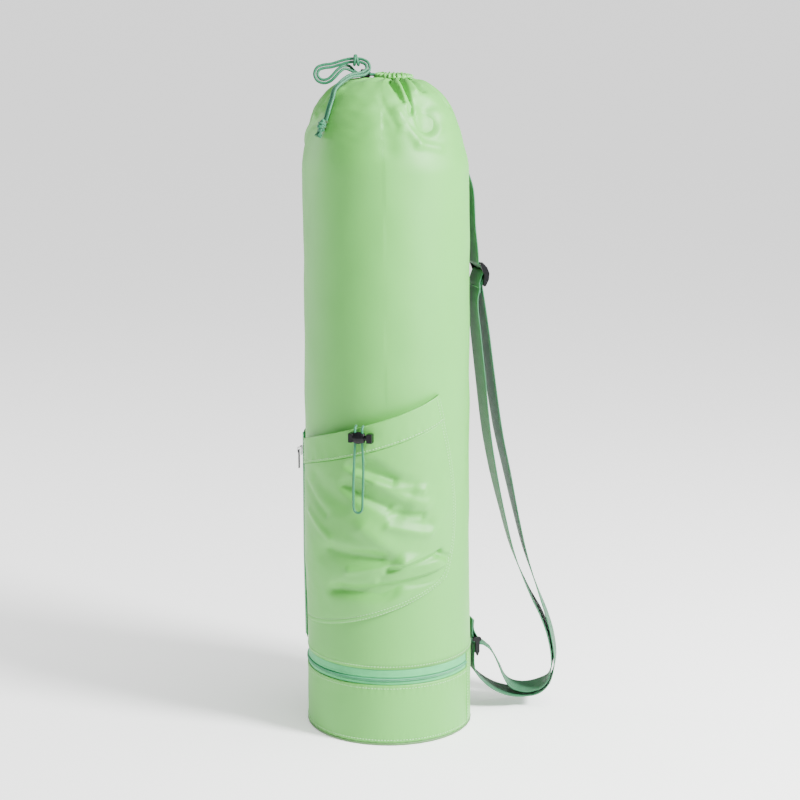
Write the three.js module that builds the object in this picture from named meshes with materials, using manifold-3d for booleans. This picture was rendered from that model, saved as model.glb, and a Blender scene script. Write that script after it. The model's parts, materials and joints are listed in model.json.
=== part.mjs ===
// Yoga mat bag: a cloth tube with a gathered top, a zipped base compartment, a pocket and a shoulder strap.
// Millimetres, +Z up. The bag stands on its base, its front faces -Y, and the strap hangs on the right, +X.
// A bearing is an angle round the bag in degrees, 0 at the front and growing towards +X.
import * as THREE from 'three';
import { mergeVertices } from 'three/addons/utils/BufferGeometryUtils.js';
import Module from 'manifold-3d';

const wasm = await Module();
wasm.setup();

// Body
const bagHeight = 750;
const baseRadius = 95.5;
const wallTaper = 2;
const shoulderRadius = baseRadius - wallTaper;
const shoulderHeight = 642;
const neckRadius = 18;
const neckShift = 5.5;
const clothThickness = 1.6;
const seamGap = 0.3;
const domeRoundness = 2.3;
const ringSegments = 56;

// Neck hem and drawcord
const hemTunnelWidth = 5.2;
const hemThickness = 1.2;
const hemRise = 5.2;
const gatherCount = 14;
const gatherDepth = 1.1;
const cordDiameter = 3.2;

// Base compartment and round zip
const zipTop = 90;
const zipBottom = 72;
const zipCoilHeight = 78;
const zipCoilWidth = 4;
const zipTapeThickness = 1;
const baseSeamHeight = 3;
const baseSeamWidth = 2.8;
const hingePanelFrom = 70;
const hingePanelTo = 140;

// Pocket
const pocketLeft = -74;
const pocketRight = 43;
const pocketTopInset = 6.3;
const pocketRightBulge = 12;
const pocketBottomHeight = 130;
const pocketBottomRise = 60;
const pocketMouthHeight = 342;
const pocketMouthRise = 61;
const pocketDepth = 13;
const pocketMouthDepth = 9.5;
const pocketHemHeight = 29;
const pocketHemThickness = 2.6;

// Cord locks
const lockBarrelLength = 14;
const lockBarrelHeight = 14;
const lockBarrelDepth = 9.6;
const lockFlangeLength = 4;
const lockBoreDiameter = 6.6;
const lockClearance = 0.3;
const lockTravel = 2.5;
const lockHeadLength = 6.4;
const lockHeadHeight = 10.3;
const lockHeadDepth = 8.6;
const lockHoleSpacing = 8.2;
const lockHoleDiameter = 3.8;
const elasticDiameter = 2.8;
const pocketLockBearing = -15.8;
const pocketLockHeight = 360.7;

// Side zip and its slider with a bail, in which the pull's end bar turns
const sideZipBearing = -93;
const sideZipBottom = 98;
const sideZipTop = 345;
const sideTapeWidth = 16;
const sideTapeThickness = 0.8;
const sideCoilWidth = 5;
const sideCoilThickness = 1.8;
const sideSliderHeight = 321;
const sliderLength = 10;
const sliderWidth = 8.5;
const sliderThickness = 2.6;
const pullLength = 21;
const pullWidth = 6;
const pullThickness = 1.6;
const bailReach = 3.4;
const bailHalf = 3.8;
const bailThickness = 1.4;
const pinRadius = 0.7;
const pinHeight = 1.1;
const eyeHalfWidth = 1.2;
const eyeReach = 4.4;

// Strap
const strapWidth = 38;
const strapThickness = 1.4;
const strapBearing = 106;
const strapReach = 106;
const triGlideHeight = 524.3;
const triGlideOut = 10.9;
const triGlideTilt = 9.3;
const triGlideLength = 28;
const triGlideArch = 3;
const buckleRail = 3;
const triGlideBar = 2.4;
const triGlideBarSpacing = 12.5;
const buckleOut = 6.55;
const buckleHeight = 82.5;
const buckleBar = 3.5;
const buckleTopRise = 9.8;
const buckleTopInset = 1.2;
const tabLength = 25;
const buckleDepth = 5.5;
const buckleDrop = 10.5;
const buckleLipDepth = 10.4;
const buckleLipHeight = 5.5;
const threadGap = 0.25;

const materials = {
  nylon: new THREE.MeshStandardMaterial({ color: 0xa9d39b, roughness: 0.5, metalness: 0 }),
  webbing: new THREE.MeshStandardMaterial({ color: 0x5f9e6d, roughness: 0.75, metalness: 0 }),
  cord: new THREE.MeshStandardMaterial({ color: 0x5cb796, roughness: 0.65, metalness: 0 }),
  zip: new THREE.MeshStandardMaterial({ color: 0x6fc79a, roughness: 0.6, metalness: 0 }),
  plastic: new THREE.MeshStandardMaterial({ color: 0x17181a, roughness: 0.4, metalness: 0 }),
  steel: new THREE.MeshStandardMaterial({ color: 0xc4c6c4, roughness: 0.3, metalness: 1 }),
};

const bag = new THREE.Group();

// How far the bag's axis has moved to the right at a height
const bagLean = [
  { height: zipTop, shift: 0 },
  { height: 200, shift: -1.9 },
  { height: 560, shift: -2.4 },
  { height: shoulderHeight, shift: -3.8 },
];

// Small helpers

function radians(degrees) {
  return THREE.MathUtils.degToRad(degrees);
}

function onCircle(radius, bearing, height) {
  return new THREE.Vector3(radius * Math.sin(radians(bearing)), -radius * Math.cos(radians(bearing)), height);
}

// A place round the bag's own axis, which leans a little to the left as it rises.
function onBag(radius, bearing, height) {
  const next = bagLean.findIndex((row) => row.height >= height);
  const high = bagLean[next < 0 ? bagLean.length - 1 : next];
  const low = bagLean[Math.max((next < 0 ? bagLean.length : next) - 1, 0)];
  const share = high === low ? 1 : (height - low.height) / (high.height - low.height);
  const point = onCircle(radius, bearing, height);
  point.x += mix(low.shift, high.shift, share);
  return point;
}

function mix(from, to, share) {
  return from + (to - from) * share;
}

function smooth(from, to, value) {
  return THREE.MathUtils.smoothstep(value, from, to);
}

// The value of a table's column at a key, easing from row to row.
function column(rows, key, name, value) {
  const next = rows.findIndex((row) => row[key] >= value);
  if (next === 0) return rows[0][name];
  if (next < 0) return rows[rows.length - 1][name];
  const low = rows[next - 1];
  const high = rows[next];
  return mix(low[name], high[name], smooth(low[key], high[key], value));
}

// Merges a geometry's shared corners, drops its flat triangles and turns its faces outward.
function closed(geometry) {
  const bare = geometry.clone();
  bare.deleteAttribute('normal');
  bare.deleteAttribute('uv');
  const merged = mergeVertices(bare, 1e-4);
  const index = merged.index.array;
  const points = merged.attributes.position;
  const corner = [new THREE.Vector3(), new THREE.Vector3(), new THREE.Vector3()];
  const kept = [];
  let volume = 0;
  for (let k = 0; k < index.length; k += 3) {
    const ids = [index[k], index[k + 1], index[k + 2]];
    if (ids[0] === ids[1] || ids[1] === ids[2] || ids[0] === ids[2]) continue;
    ids.forEach((id, n) => corner[n].fromBufferAttribute(points, id));
    volume += corner[0].dot(corner[1].clone().cross(corner[2]));
    kept.push(...ids);
  }
  if (volume < 0) {
    for (let k = 0; k < kept.length; k += 3) [kept[k + 1], kept[k + 2]] = [kept[k + 2], kept[k + 1]];
  }
  merged.setIndex(kept);
  return merged;
}

// Moves each corner of a geometry to where place says, given the corner and its number.
function bent(geometry, place) {
  const points = geometry.attributes.position;
  const corner = new THREE.Vector3();
  for (let k = 0; k < points.count; k += 1) {
    const moved = place(corner.fromBufferAttribute(points, k), k);
    points.setXYZ(k, moved.x, moved.y, moved.z);
  }
  return closed(geometry);
}

function toSolid(geometry) {
  const mesh = closed(geometry);
  return new wasm.Manifold(new wasm.Mesh({
    numProp: 3,
    vertProperties: new Float32Array(mesh.attributes.position.array),
    triVerts: new Uint32Array(mesh.index.array),
  }));
}

function toGeometry(solid) {
  const mesh = solid.getMesh();
  const geometry = new THREE.BufferGeometry();
  geometry.setAttribute('position', new THREE.BufferAttribute(new Float32Array(mesh.vertProperties), 3));
  geometry.setIndex(Array.from(mesh.triVerts));
  return geometry;
}

function add(name, geometry, material, parent = bag) {
  const mesh = new THREE.Mesh(geometry, materials[material]);
  mesh.name = name;
  geometry.computeVertexNormals();
  parent.add(mesh);
  return mesh;
}

// A band that follows the bag between two bearings and two heights, with its faces at two distances.
function band(from, to, low, high, distanceAt, thickness, steps, rows = 1) {
  return bent(new THREE.BoxGeometry(1, 1, 1, steps, rows, 1), (p) => {
    const height = mix(low, high, p.y + 0.5);
    const radius = distanceAt(height) + thickness * (p.z + 0.5);
    return onBag(radius, mix(from, to, p.x + 0.5), height);
  });
}

// A ring turned from a profile that closes on itself, or that starts and ends on the axis.
function ring(profile, segments, place) {
  const outline = profile.map((row) => new THREE.Vector2(row.radius, row.height));
  return bent(new THREE.LatheGeometry(outline, segments), (p, k) => {
    const row = profile[k % profile.length];
    const turn = (Math.floor(k / profile.length) % segments) / segments;
    return place(row, turn * 360);
  });
}

// Shape of the body

const neckHeight = bagHeight - hemRise;
const domeEnd = Math.acos((neckRadius / shoulderRadius) ** (domeRoundness / 2));
const domeRise = (neckHeight - shoulderHeight) / Math.sin(domeEnd) ** (2 / domeRoundness);
const domeArc = (shoulderRadius + domeRise) * 0.79;

// The dome leans further to the left, and the neck is pulled to the right, as a share of neckPull.
const neckPull = neckShift - bagLean[bagLean.length - 1].shift;
const domeLean = [
  { dome: 0, shift: 0 },
  { dome: 0.2, shift: -0.14 },
  { dome: 0.5, shift: -0.26 },
  { dome: 0.65, shift: -0.32 },
  { dome: 0.82, shift: -0.25 },
  { dome: 0.92, shift: 0.05 },
  { dome: 1, shift: 1 },
];

// How much fuller than a plain dome the cloth stands, in mm
const domeSwell = [
  { dome: 0, swell: 0 },
  { dome: 0.18, swell: -2 },
  { dome: 0.32, swell: -1.4 },
  { dome: 0.5, swell: 2 },
  { dome: 0.65, swell: 4.2 },
  { dome: 0.8, swell: 4.8 },
  { dome: 0.9, swell: 2.6 },
  { dome: 1, swell: 0 },
];

// Folds in the dome, each a valley or a ridge along a line, with depth as a share of domeFoldDepth.
const domeFoldDepth = 7;
const domeFolds = [
  { name: 'great dent', fromBearing: 40, fromDome: 0.52, toBearing: 36, toDome: 0.34, width: 14, depth: -1 },
  {
    name: 'rim left of it', fromBearing: 17, fromDome: 0.36,
    toBearing: 26, toDome: 0.21, width: 5, depth: 0.26,
  },
  {
    name: 'rim below it', fromBearing: 26, fromDome: 0.21,
    toBearing: 44, toDome: 0.17, width: 5, depth: 0.26,
  },
  {
    name: 'right pleat', fromBearing: 52, fromDome: 0.92,
    toBearing: 49, toDome: 0.7, width: 5.5, depth: -0.75,
  },
  {
    name: 'first pleat', fromBearing: 8, fromDome: 0.98,
    toBearing: 19, toDome: 0.58, width: 3.2, depth: -0.6,
  },
  {
    name: 'second pleat', fromBearing: 31, fromDome: 0.95,
    toBearing: 25, toDome: 0.47, width: 3.2, depth: -0.8,
  },
  {
    name: 'first ridge', fromBearing: 21, fromDome: 0.93,
    toBearing: 22, toDome: 0.55, width: 3, depth: 0.32,
  },
  {
    name: 'second ridge', fromBearing: 40, fromDome: 0.93,
    toBearing: 37, toDome: 0.68, width: 4, depth: 0.4,
  },
  { name: 'soft valley', fromBearing: 1, fromDome: 0.5, toBearing: 4, toDome: 0.18, width: 11, depth: -0.3 },
  { name: 'soft ridge', fromBearing: 12, fromDome: 0.5, toBearing: 14, toDome: 0.32, width: 5, depth: 0.2 },
  {
    name: 'left crest', fromBearing: -50, fromDome: 0.68,
    toBearing: -66, toDome: 0.42, width: 5, depth: 0.3,
  },
  {
    name: 'left crest low', fromBearing: -66, fromDome: 0.42,
    toBearing: -92, toDome: 0.2, width: 4, depth: 0.25,
  },
  {
    name: 'left hollow', fromBearing: -68, fromDome: 0.66,
    toBearing: -78, toDome: 0.46, width: 9, depth: -0.25,
  },
  {
    name: 'lock seat', fromBearing: -88, fromDome: 0.97,
    toBearing: -86, toDome: 0.84, width: 9, depth: -0.5,
  },
];
for (let k = 0; k < 11; k += 1) {
  const bearing = 78 + k * 21 + 5 * Math.sin(3 * k);
  domeFolds.push({
    name: 'back pleat',
    fromBearing: bearing,
    fromDome: 0.97,
    toBearing: bearing + 6 * Math.sin(2 * k),
    toDome: 0.5 + 0.14 * Math.sin(5 * k),
    width: 4.5,
    depth: -0.38 - 0.14 * Math.cos(4 * k),
  });
}

function wallRadius(height) {
  return mix(baseRadius, shoulderRadius, Math.min(height / shoulderHeight, 1));
}

// The body's bare outline at a level: 0 to 1 is the upright wall, and 1 to 2 is the dome.
function outlineAt(level) {
  if (level <= 1) {
    const height = mix(zipTop, shoulderHeight, level);
    return { radius: wallRadius(height), height, outward: 1, upward: 0, dome: 0, reach: level };
  }
  const angle = domeEnd * (level - 1);
  const power = 2 / domeRoundness;
  const outward = Math.cos(angle) ** (2 - power) / shoulderRadius;
  const upward = Math.sin(angle) ** (2 - power) / domeRise;
  const length = Math.hypot(outward, upward);
  return {
    radius: shoulderRadius * Math.cos(angle) ** power,
    height: shoulderHeight + domeRise * Math.sin(angle) ** power,
    outward: outward / length,
    upward: upward / length,
    dome: level - 1,
    reach: 1,
  };
}

function nearestTurn(degrees) {
  return THREE.MathUtils.euclideanModulo(degrees + 180, 360) - 180;
}

// How far the cloth of the dome stands out or in at a bearing.
function foldAt(spot, bearing) {
  const mm = radians(1) * spot.radius;
  let depth = gatherDepth * smooth(0.7, 1, spot.dome) * Math.cos(radians(gatherCount * bearing));
  for (const fold of domeFolds) {
    const x = nearestTurn(bearing - fold.fromBearing) * mm;
    const y = (spot.dome - fold.fromDome) * domeArc;
    const alongX = (fold.toBearing - fold.fromBearing) * mm;
    const alongY = (fold.toDome - fold.fromDome) * domeArc;
    const share = THREE.MathUtils.clamp((x * alongX + y * alongY) / (alongX ** 2 + alongY ** 2), 0, 1);
    const away = Math.hypot(x - share * alongX, y - share * alongY) / fold.width;
    depth += domeFoldDepth * fold.depth * Math.exp(-away * away);
  }
  return depth * smooth(0, 0.12, spot.dome) + column(domeSwell, 'dome', 'swell', spot.dome);
}

function bodyPoint(level, bearing, offset) {
  const spot = outlineAt(level);
  const depth = offset + foldAt(spot, bearing);
  const point = onBag(spot.radius + spot.outward * depth, bearing, spot.height + spot.upward * depth);
  point.x += neckPull * column(domeLean, 'dome', 'shift', spot.dome);
  return point;
}

// The cloth tube with its dome, open at the neck and closed below by the floor over the base compartment.
function bodyShell() {
  const wallLevels = bagLean.map((row) => (row.height - zipTop) / (shoulderHeight - zipTop));
  const domeLevels = [0.16, 0.3, 0.43, 0.56, 0.69, 0.81, 0.92, 1].map((dome) => 1 + dome);
  const levels = wallLevels.concat(domeLevels);
  const outside = levels.map((level) => ({ radius: 1, height: level, level, offset: 0 }));
  const inside = levels.slice(1).reverse().map((level) => (
    { radius: 1, height: level, level, offset: -clothThickness }
  ));
  const profile = [
    { radius: 0, height: zipTop },
    ...outside,
    ...inside,
    { radius: wallRadius(zipTop) - clothThickness, height: zipTop + clothThickness },
    { radius: 0, height: zipTop + clothThickness },
  ];
  return ring(profile, ringSegments, (row, bearing) => (
    row.level === undefined
      ? onCircle(row.radius, bearing, row.height)
      : bodyPoint(row.level, bearing, row.offset)
  ));
}
add('body_shell', bodyShell(), 'nylon');

// Neck hem: a gathered tunnel, open below, with the drawcord inside it.

const neckCentre = new THREE.Vector3(neckShift, 0, neckHeight);
const hemBottom = 1.2;

function ruffle(bearing) {
  return Math.cos(radians(gatherCount * bearing));
}

function neckHem() {
  const half = hemTunnelWidth / 2;
  const wide = half + hemThickness;
  const profile = [
    { out: half, up: hemBottom },
    { out: wide, up: hemBottom },
    { out: wide * 0.85, up: hemRise },
    { out: -wide * 0.85, up: hemRise },
    { out: -wide, up: -hemRise * 0.2 },
    { out: -half, up: -hemRise * 0.2 },
    { out: -half * 0.85, up: hemRise - hemThickness },
    { out: half * 0.85, up: hemRise - hemThickness },
    { out: half, up: hemBottom },
  ].map((row) => ({ ...row, radius: neckRadius + row.out, height: row.up }));
  return ring(profile, ringSegments, (row, bearing) => {
    const lift = ruffle(bearing) * gatherDepth;
    const point = onCircle(row.radius + lift * 0.4, bearing, row.height + lift);
    return point.add(neckCentre);
  });
}
add('neck_hem', neckHem(), 'nylon');

function neckCord() {
  const sides = 5;
  const radius = cordDiameter / 2 - 0.4;
  const middle = hemRise - hemThickness - seamGap - radius - gatherDepth * 0.3;
  const profile = [];
  for (let k = 0; k <= sides; k += 1) {
    const angle = (k / sides) * 2 * Math.PI;
    const out = radius * Math.cos(angle);
    profile.push({ radius: neckRadius + out, height: middle + radius * Math.sin(angle) });
  }
  return ring(profile, ringSegments / 2, (row, bearing) => (
    onCircle(row.radius, bearing, row.height + ruffle(bearing) * gatherDepth * 0.6).add(neckCentre)
  ));
}
add('neck_cord', neckCord(), 'cord');

// Base compartment: its wall, its bottom and the sewn edge between them

const seamGapDegrees = THREE.MathUtils.radToDeg(seamGap / baseRadius);
const zipFrom = hingePanelTo + seamGapDegrees;
const zipTo = hingePanelFrom + 360 - seamGapDegrees;
const zipSteps = 30;

function insideOfWall(height) {
  return wallRadius(height) - clothThickness;
}

add('base_wall', band(
  zipFrom, zipTo, baseSeamHeight + seamGap, zipBottom - seamGap, insideOfWall, clothThickness, zipSteps,
), 'nylon');
add('hinge_panel', band(
  hingePanelFrom, hingePanelTo, baseSeamHeight + seamGap, zipTop - seamGap, insideOfWall, clothThickness, 14,
), 'nylon');

const basePanelRadius = baseRadius - baseSeamWidth - seamGap;
add('base_panel', new THREE.CylinderGeometry(basePanelRadius, basePanelRadius, clothThickness, ringSegments)
  .rotateX(Math.PI / 2).translate(0, 0, clothThickness / 2), 'nylon');

function baseSeam() {
  const inner = baseRadius - baseSeamWidth;
  const bulge = baseSeamWidth * 0.12;
  const profile = [
    { radius: inner, height: 0 },
    { radius: baseRadius - bulge, height: 0 },
    { radius: baseRadius + bulge, height: baseSeamHeight },
    { radius: inner, height: baseSeamHeight },
    { radius: inner, height: 0 },
  ];
  return ring(profile, ringSegments, (row, bearing) => onCircle(row.radius, bearing, row.height));
}
add('base_seam', baseSeam(), 'nylon');

// Round zip: two tapes, the closed coil between them and the slider, which is parked at the back

const coilLow = zipCoilHeight - zipCoilWidth / 2;
const coilHigh = zipCoilHeight + zipCoilWidth / 2;
const tapeAt = (height) => wallRadius(height) - zipTapeThickness;

add('base_zip_tape_upper', band(
  zipFrom, zipTo, coilHigh + seamGap, zipTop - seamGap, tapeAt, zipTapeThickness, zipSteps,
), 'zip');
add('base_zip_tape_lower', band(
  zipFrom, zipTo, zipBottom, coilLow - seamGap, tapeAt, zipTapeThickness, zipSteps,
), 'zip');
add('base_zip_coil', band(
  zipFrom, zipTo, coilLow, coilHigh, tapeAt, zipTapeThickness + sideCoilThickness / 2, zipSteps,
), 'zip');

const baseSliderSpan = THREE.MathUtils.radToDeg(sliderLength / baseRadius);
const baseSliderFrom = zipFrom + baseSliderSpan / 2;
add('base_zip_slider', band(
  baseSliderFrom, baseSliderFrom + baseSliderSpan,
  zipCoilHeight - sliderWidth / 2, zipCoilHeight + sliderWidth / 2,
  (height) => wallRadius(height) + sideCoilThickness / 2 + seamGap, sliderThickness, 3,
), 'plastic');

// Pocket: a cloth wall that bellies out from the body, sewn down at its left, its bottom and its right edge

// Folds in the pocket in shares of its width and height, with depth as a share of pocketFoldDepth.
const pocketFoldDepth = 5;
const pocketFolds = [
  { fromWide: 0.5, fromTall: 0.84, toWide: 0.72, toTall: 0.63, width: 8, depth: -0.75 },
  { fromWide: 0.56, fromTall: 0.7, toWide: 0.78, toTall: 0.52, width: 7, depth: 0.45 },
  { fromWide: 0.46, fromTall: 0.74, toWide: 0.66, toTall: 0.54, width: 9, depth: -0.7 },
  { fromWide: 0.64, fromTall: 0.5, toWide: 0.78, toTall: 0.42, width: 8, depth: -0.4 },
  { fromWide: 0.48, fromTall: 0.5, toWide: 0.68, toTall: 0.26, width: 9, depth: 0.6 },
  { fromWide: 0.26, fromTall: 0.4, toWide: 0.6, toTall: 0.3, width: 10, depth: -0.45 },
  { fromWide: 0.56, fromTall: 0.19, toWide: 0.92, toTall: 0.07, width: 7, depth: -1 },
  { fromWide: 0.66, fromTall: 0.27, toWide: 0.92, toTall: 0.15, width: 8, depth: 0.7 },
  { fromWide: 0.35, fromTall: 0.2, toWide: 0.62, toTall: 0.12, width: 9, depth: -0.6 },
  { fromWide: 0.2, fromTall: 0.78, toWide: 0.38, toTall: 0.64, width: 10, depth: -0.4 },
];

function pocketBearing(wide, tall) {
  const bulge = pocketRightBulge * Math.sin(Math.PI * tall ** 0.75);
  return mix(pocketLeft, pocketRight - pocketTopInset * tall + bulge, wide);
}

function pocketBottom(wide) {
  return pocketBottomHeight + pocketBottomRise * wide ** 1.7;
}

function pocketMouth(wide) {
  return pocketMouthHeight + pocketMouthRise * (wide - 0.05 * Math.sin(Math.PI * wide));
}

function pocketHeight(wide, tall) {
  return mix(pocketBottom(wide), pocketMouth(wide), tall);
}

// How far the inner face of the pocket stands off the body.
function pocketStandOff(wide, tall) {
  const across = (4 * wide * (1 - wide)) ** 0.6;
  const up = Math.min(1, (tall / 0.4)) ** 0.7;
  const depth = mix(pocketDepth, pocketMouthDepth, smooth(0.45, 0.95, tall));
  const spanWide = radians(pocketRight - pocketLeft) * baseRadius;
  const spanTall = pocketMouthHeight - pocketBottomHeight;
  let fold = 0;
  for (const row of pocketFolds) {
    const x = (wide - row.fromWide) * spanWide;
    const y = (tall - row.fromTall) * spanTall;
    const alongX = (row.toWide - row.fromWide) * spanWide;
    const alongY = (row.toTall - row.fromTall) * spanTall;
    const share = THREE.MathUtils.clamp((x * alongX + y * alongY) / (alongX ** 2 + alongY ** 2), 0, 1);
    const away = Math.hypot(x - share * alongX, y - share * alongY) / row.width;
    fold += pocketFoldDepth * row.depth * Math.exp(-away * away);
  }
  const loose = Math.min(1, across * 1.6) * smooth(0, 0.1, tall) * (1 - smooth(0.8, 0.87, tall));
  return seamGap + Math.max(0, depth * across * up + fold * loose);
}

function pocketSheet(lowTall, highTall, thickness, wideSteps, tallSteps) {
  return bent(new THREE.BoxGeometry(1, 1, 1, wideSteps, tallSteps, 1), (p) => {
    const wide = p.x + 0.5;
    const tall = mix(lowTall(wide), highTall(wide), p.y + 0.5);
    const height = pocketHeight(wide, tall);
    const radius = wallRadius(height) + pocketStandOff(wide, tall) + thickness * (p.z + 0.5);
    return onBag(radius, pocketBearing(wide, tall), height);
  });
}

function hemShare(wide, extra) {
  return 1 - (pocketHemHeight + extra) / (pocketMouth(wide) - pocketBottom(wide));
}

add('pocket_panel', pocketSheet(() => 0, (wide) => hemShare(wide, seamGap), clothThickness, 19, 12), 'nylon');
add('pocket_hem', pocketSheet((wide) => hemShare(wide, 0), () => 1, pocketHemThickness, 19, 2), 'nylon');

// Cord locks: a barrel with a flange, and a button that slides in it along X. Cord holes run along Z.

const lockHoles = [-lockHoleSpacing / 2, lockHoleSpacing / 2];
const barrelEnd = lockBarrelLength / 2;
const lockStemRadius = lockBoreDiameter / 2 - lockClearance;
const stemEnd = -(lockHoleSpacing / 2 + lockHoleDiameter / 2 + 0.8);

function along(geometry, from, to) {
  return geometry.rotateZ(Math.PI / 2).translate((from + to) / 2, 0, 0);
}

function lockBarrel() {
  const outline = [
    { x: -barrelEnd, share: 0 },
    { x: -barrelEnd, share: 0.74 },
    { x: -barrelEnd * 0.6, share: 0.93 },
    { x: 0, share: 1 },
    { x: barrelEnd * 0.6, share: 0.93 },
    { x: barrelEnd, share: 0.74 },
    { x: barrelEnd, share: 0 },
  ].map((row) => new THREE.Vector2(row.share, row.x));
  const barrel = new THREE.LatheGeometry(outline, 12).rotateZ(-Math.PI / 2);
  barrel.scale(1, lockBarrelDepth / 2, lockBarrelHeight / 2);
  const flange = new THREE.BoxGeometry(lockFlangeLength + 0.5, lockHeadDepth, lockHeadHeight)
    .translate(-barrelEnd - lockFlangeLength / 2 + 0.25, 0, 0);
  const boreFrom = stemEnd - lockTravel - lockClearance;
  const boreLength = barrelEnd + 1 - boreFrom;
  const bore = along(
    new THREE.CylinderGeometry(lockBoreDiameter / 2, lockBoreDiameter / 2, boreLength, 12),
    boreFrom, barrelEnd + 1,
  );
  let solid = toSolid(barrel).add(toSolid(flange)).subtract(toSolid(bore));
  for (const x of lockHoles) solid = solid.subtract(toSolid(lockHole(x, x, lockHoleDiameter)));
  return toGeometry(solid);
}

function lockHole(fromX, toX, diameter) {
  const tall = lockBarrelHeight + 2;
  const slot = new THREE.Shape();
  slot.absarc(toX, 0, diameter / 2, -Math.PI / 2, Math.PI / 2, false);
  slot.absarc(fromX, 0, diameter / 2, Math.PI / 2, Math.PI * 1.5, false);
  return new THREE.ExtrudeGeometry(slot, { depth: tall, bevelEnabled: false, curveSegments: 3 })
    .translate(0, 0, -tall / 2);
}

function lockButton() {
  const headFrom = barrelEnd + lockTravel + lockClearance;
  const stem = along(
    new THREE.CylinderGeometry(lockStemRadius, lockStemRadius, headFrom + 0.5 - stemEnd, 12),
    stemEnd, headFrom + 0.5,
  );
  const head = new THREE.BoxGeometry(lockHeadLength, lockHeadDepth, lockHeadHeight)
    .translate(headFrom + lockHeadLength / 2, 0, 0);
  let solid = toSolid(stem).add(toSolid(head));
  for (const x of lockHoles) solid = solid.subtract(toSolid(lockHole(x, x + lockTravel, lockHoleDiameter)));
  return toGeometry(solid);
}

function addLock(prefix, place) {
  const group = new THREE.Group();
  add(`${prefix}_body`, lockBarrel(), 'plastic', group);
  add(`${prefix}_button`, lockButton(), 'plastic', group);
  place(group);
  bag.add(group);
}

const pocketWideAtLock = (pocketLockBearing - pocketLeft) / (pocketRight - pocketTopInset - pocketLeft);
const pocketTallAtLock = (pocketLockHeight - pocketBottom(pocketWideAtLock))
  / (pocketMouth(pocketWideAtLock) - pocketBottom(pocketWideAtLock));
const hemFaceAtLock = wallRadius(pocketLockHeight) + pocketStandOff(pocketWideAtLock, pocketTallAtLock)
  + pocketHemThickness;
const lockSeat = 0.5;
const lockRadius = hemFaceAtLock + lockSeat + lockBarrelDepth / 2;

addLock('pocket_lock', (group) => {
  group.position.copy(onBag(lockRadius, pocketLockBearing, pocketLockHeight));
  group.rotation.z = radians(pocketLockBearing);
});

// A cord with a round section that follows points.
function cordAlong(points, diameter, steps) {
  const circle = new THREE.Path().absarc(0, 0, diameter / 2, 0, Math.PI * 2);
  const section = new THREE.Shape(circle.getPoints(3).slice(0, -1));
  const path = new THREE.CatmullRomCurve3(points, false, 'centripetal');
  return closed(new THREE.ExtrudeGeometry(section, { steps, extrudePath: path, bevelEnabled: false }));
}

// The elastic leaves the hem above the lock, runs down through it, hangs in a loop and comes back.
// Across runs along the hem, out runs away from the bag and down is below, all from the lock's middle.
const elasticRoute = [
  { across: -4.1, out: -4.9, down: -12.3 },
  { across: -4.1, out: -3.02, down: -11.93 },
  { across: -4.1, out: -1.43, down: -10.86 },
  { across: -4.1, out: -0.37, down: -9.27 },
  { across: -4.1, out: 0, down: -7.4 },
  { across: -4.1, out: 0, down: 0 },
  { across: -4.1, out: 0, down: 8 },
  { across: -4.7, out: 0.4, down: 20 },
  { across: -5.5, out: 0.9, down: 40 },
  { across: -5.8, out: 1.4, down: 58 },
  { across: -5.6, out: 1.7, down: 70 },
  { across: -5.3, out: 1.9, down: 79 },
  { across: -3.8, out: 2, down: 82.6 },
  { across: -0.4, out: 2, down: 84.1 },
  { across: 3, out: 2, down: 82.6 },
  { across: 4.5, out: 1.9, down: 79 },
  { across: 4.8, out: 1.7, down: 70 },
  { across: 5.2, out: 1.4, down: 58 },
  { across: 5.5, out: 0.9, down: 40 },
  { across: 5, out: 0.4, down: 20 },
  { across: 4.1, out: 0, down: 8 },
  { across: 4.1, out: 0, down: 0 },
  { across: 4.1, out: 0, down: -7.4 },
  { across: 4.1, out: -0.37, down: -9.27 },
  { across: 4.1, out: -1.43, down: -10.86 },
  { across: 4.1, out: -3.02, down: -11.93 },
  { across: 4.1, out: -4.9, down: -12.3 },
];

function pocketElastic() {
  const points = elasticRoute.map((row) => new THREE.Vector3(row.across, -row.out, -row.down)
    .applyAxisAngle(new THREE.Vector3(0, 0, 1), radians(pocketLockBearing))
    .add(onBag(lockRadius, pocketLockBearing, pocketLockHeight)));
  return cordAlong(points, elasticDiameter, 34);
}
add('pocket_elastic', pocketElastic(), 'cord');

// Side zip: a tape on the left of the body, its coil, its slider and the pull that hangs from it

const sideZipRows = 5;
const sideHalf = (width) => THREE.MathUtils.radToDeg(width / 2 / baseRadius);
const onTape = (height) => wallRadius(height) + seamGap;
const onCoil = (height) => onTape(height) + sideTapeThickness + seamGap;
const onSlider = (height) => onCoil(height) + sideCoilThickness + seamGap;

add('side_zip_tape', band(
  sideZipBearing - sideHalf(sideTapeWidth), sideZipBearing + sideHalf(sideTapeWidth),
  sideZipBottom, sideZipTop, onTape, sideTapeThickness, 3, sideZipRows,
), 'zip');
add('side_zip_coil', band(
  sideZipBearing - sideHalf(sideCoilWidth), sideZipBearing + sideHalf(sideCoilWidth),
  sideZipBottom + 3, sideZipTop - 3, onCoil, sideCoilThickness, 2, sideZipRows,
), 'zip');

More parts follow.
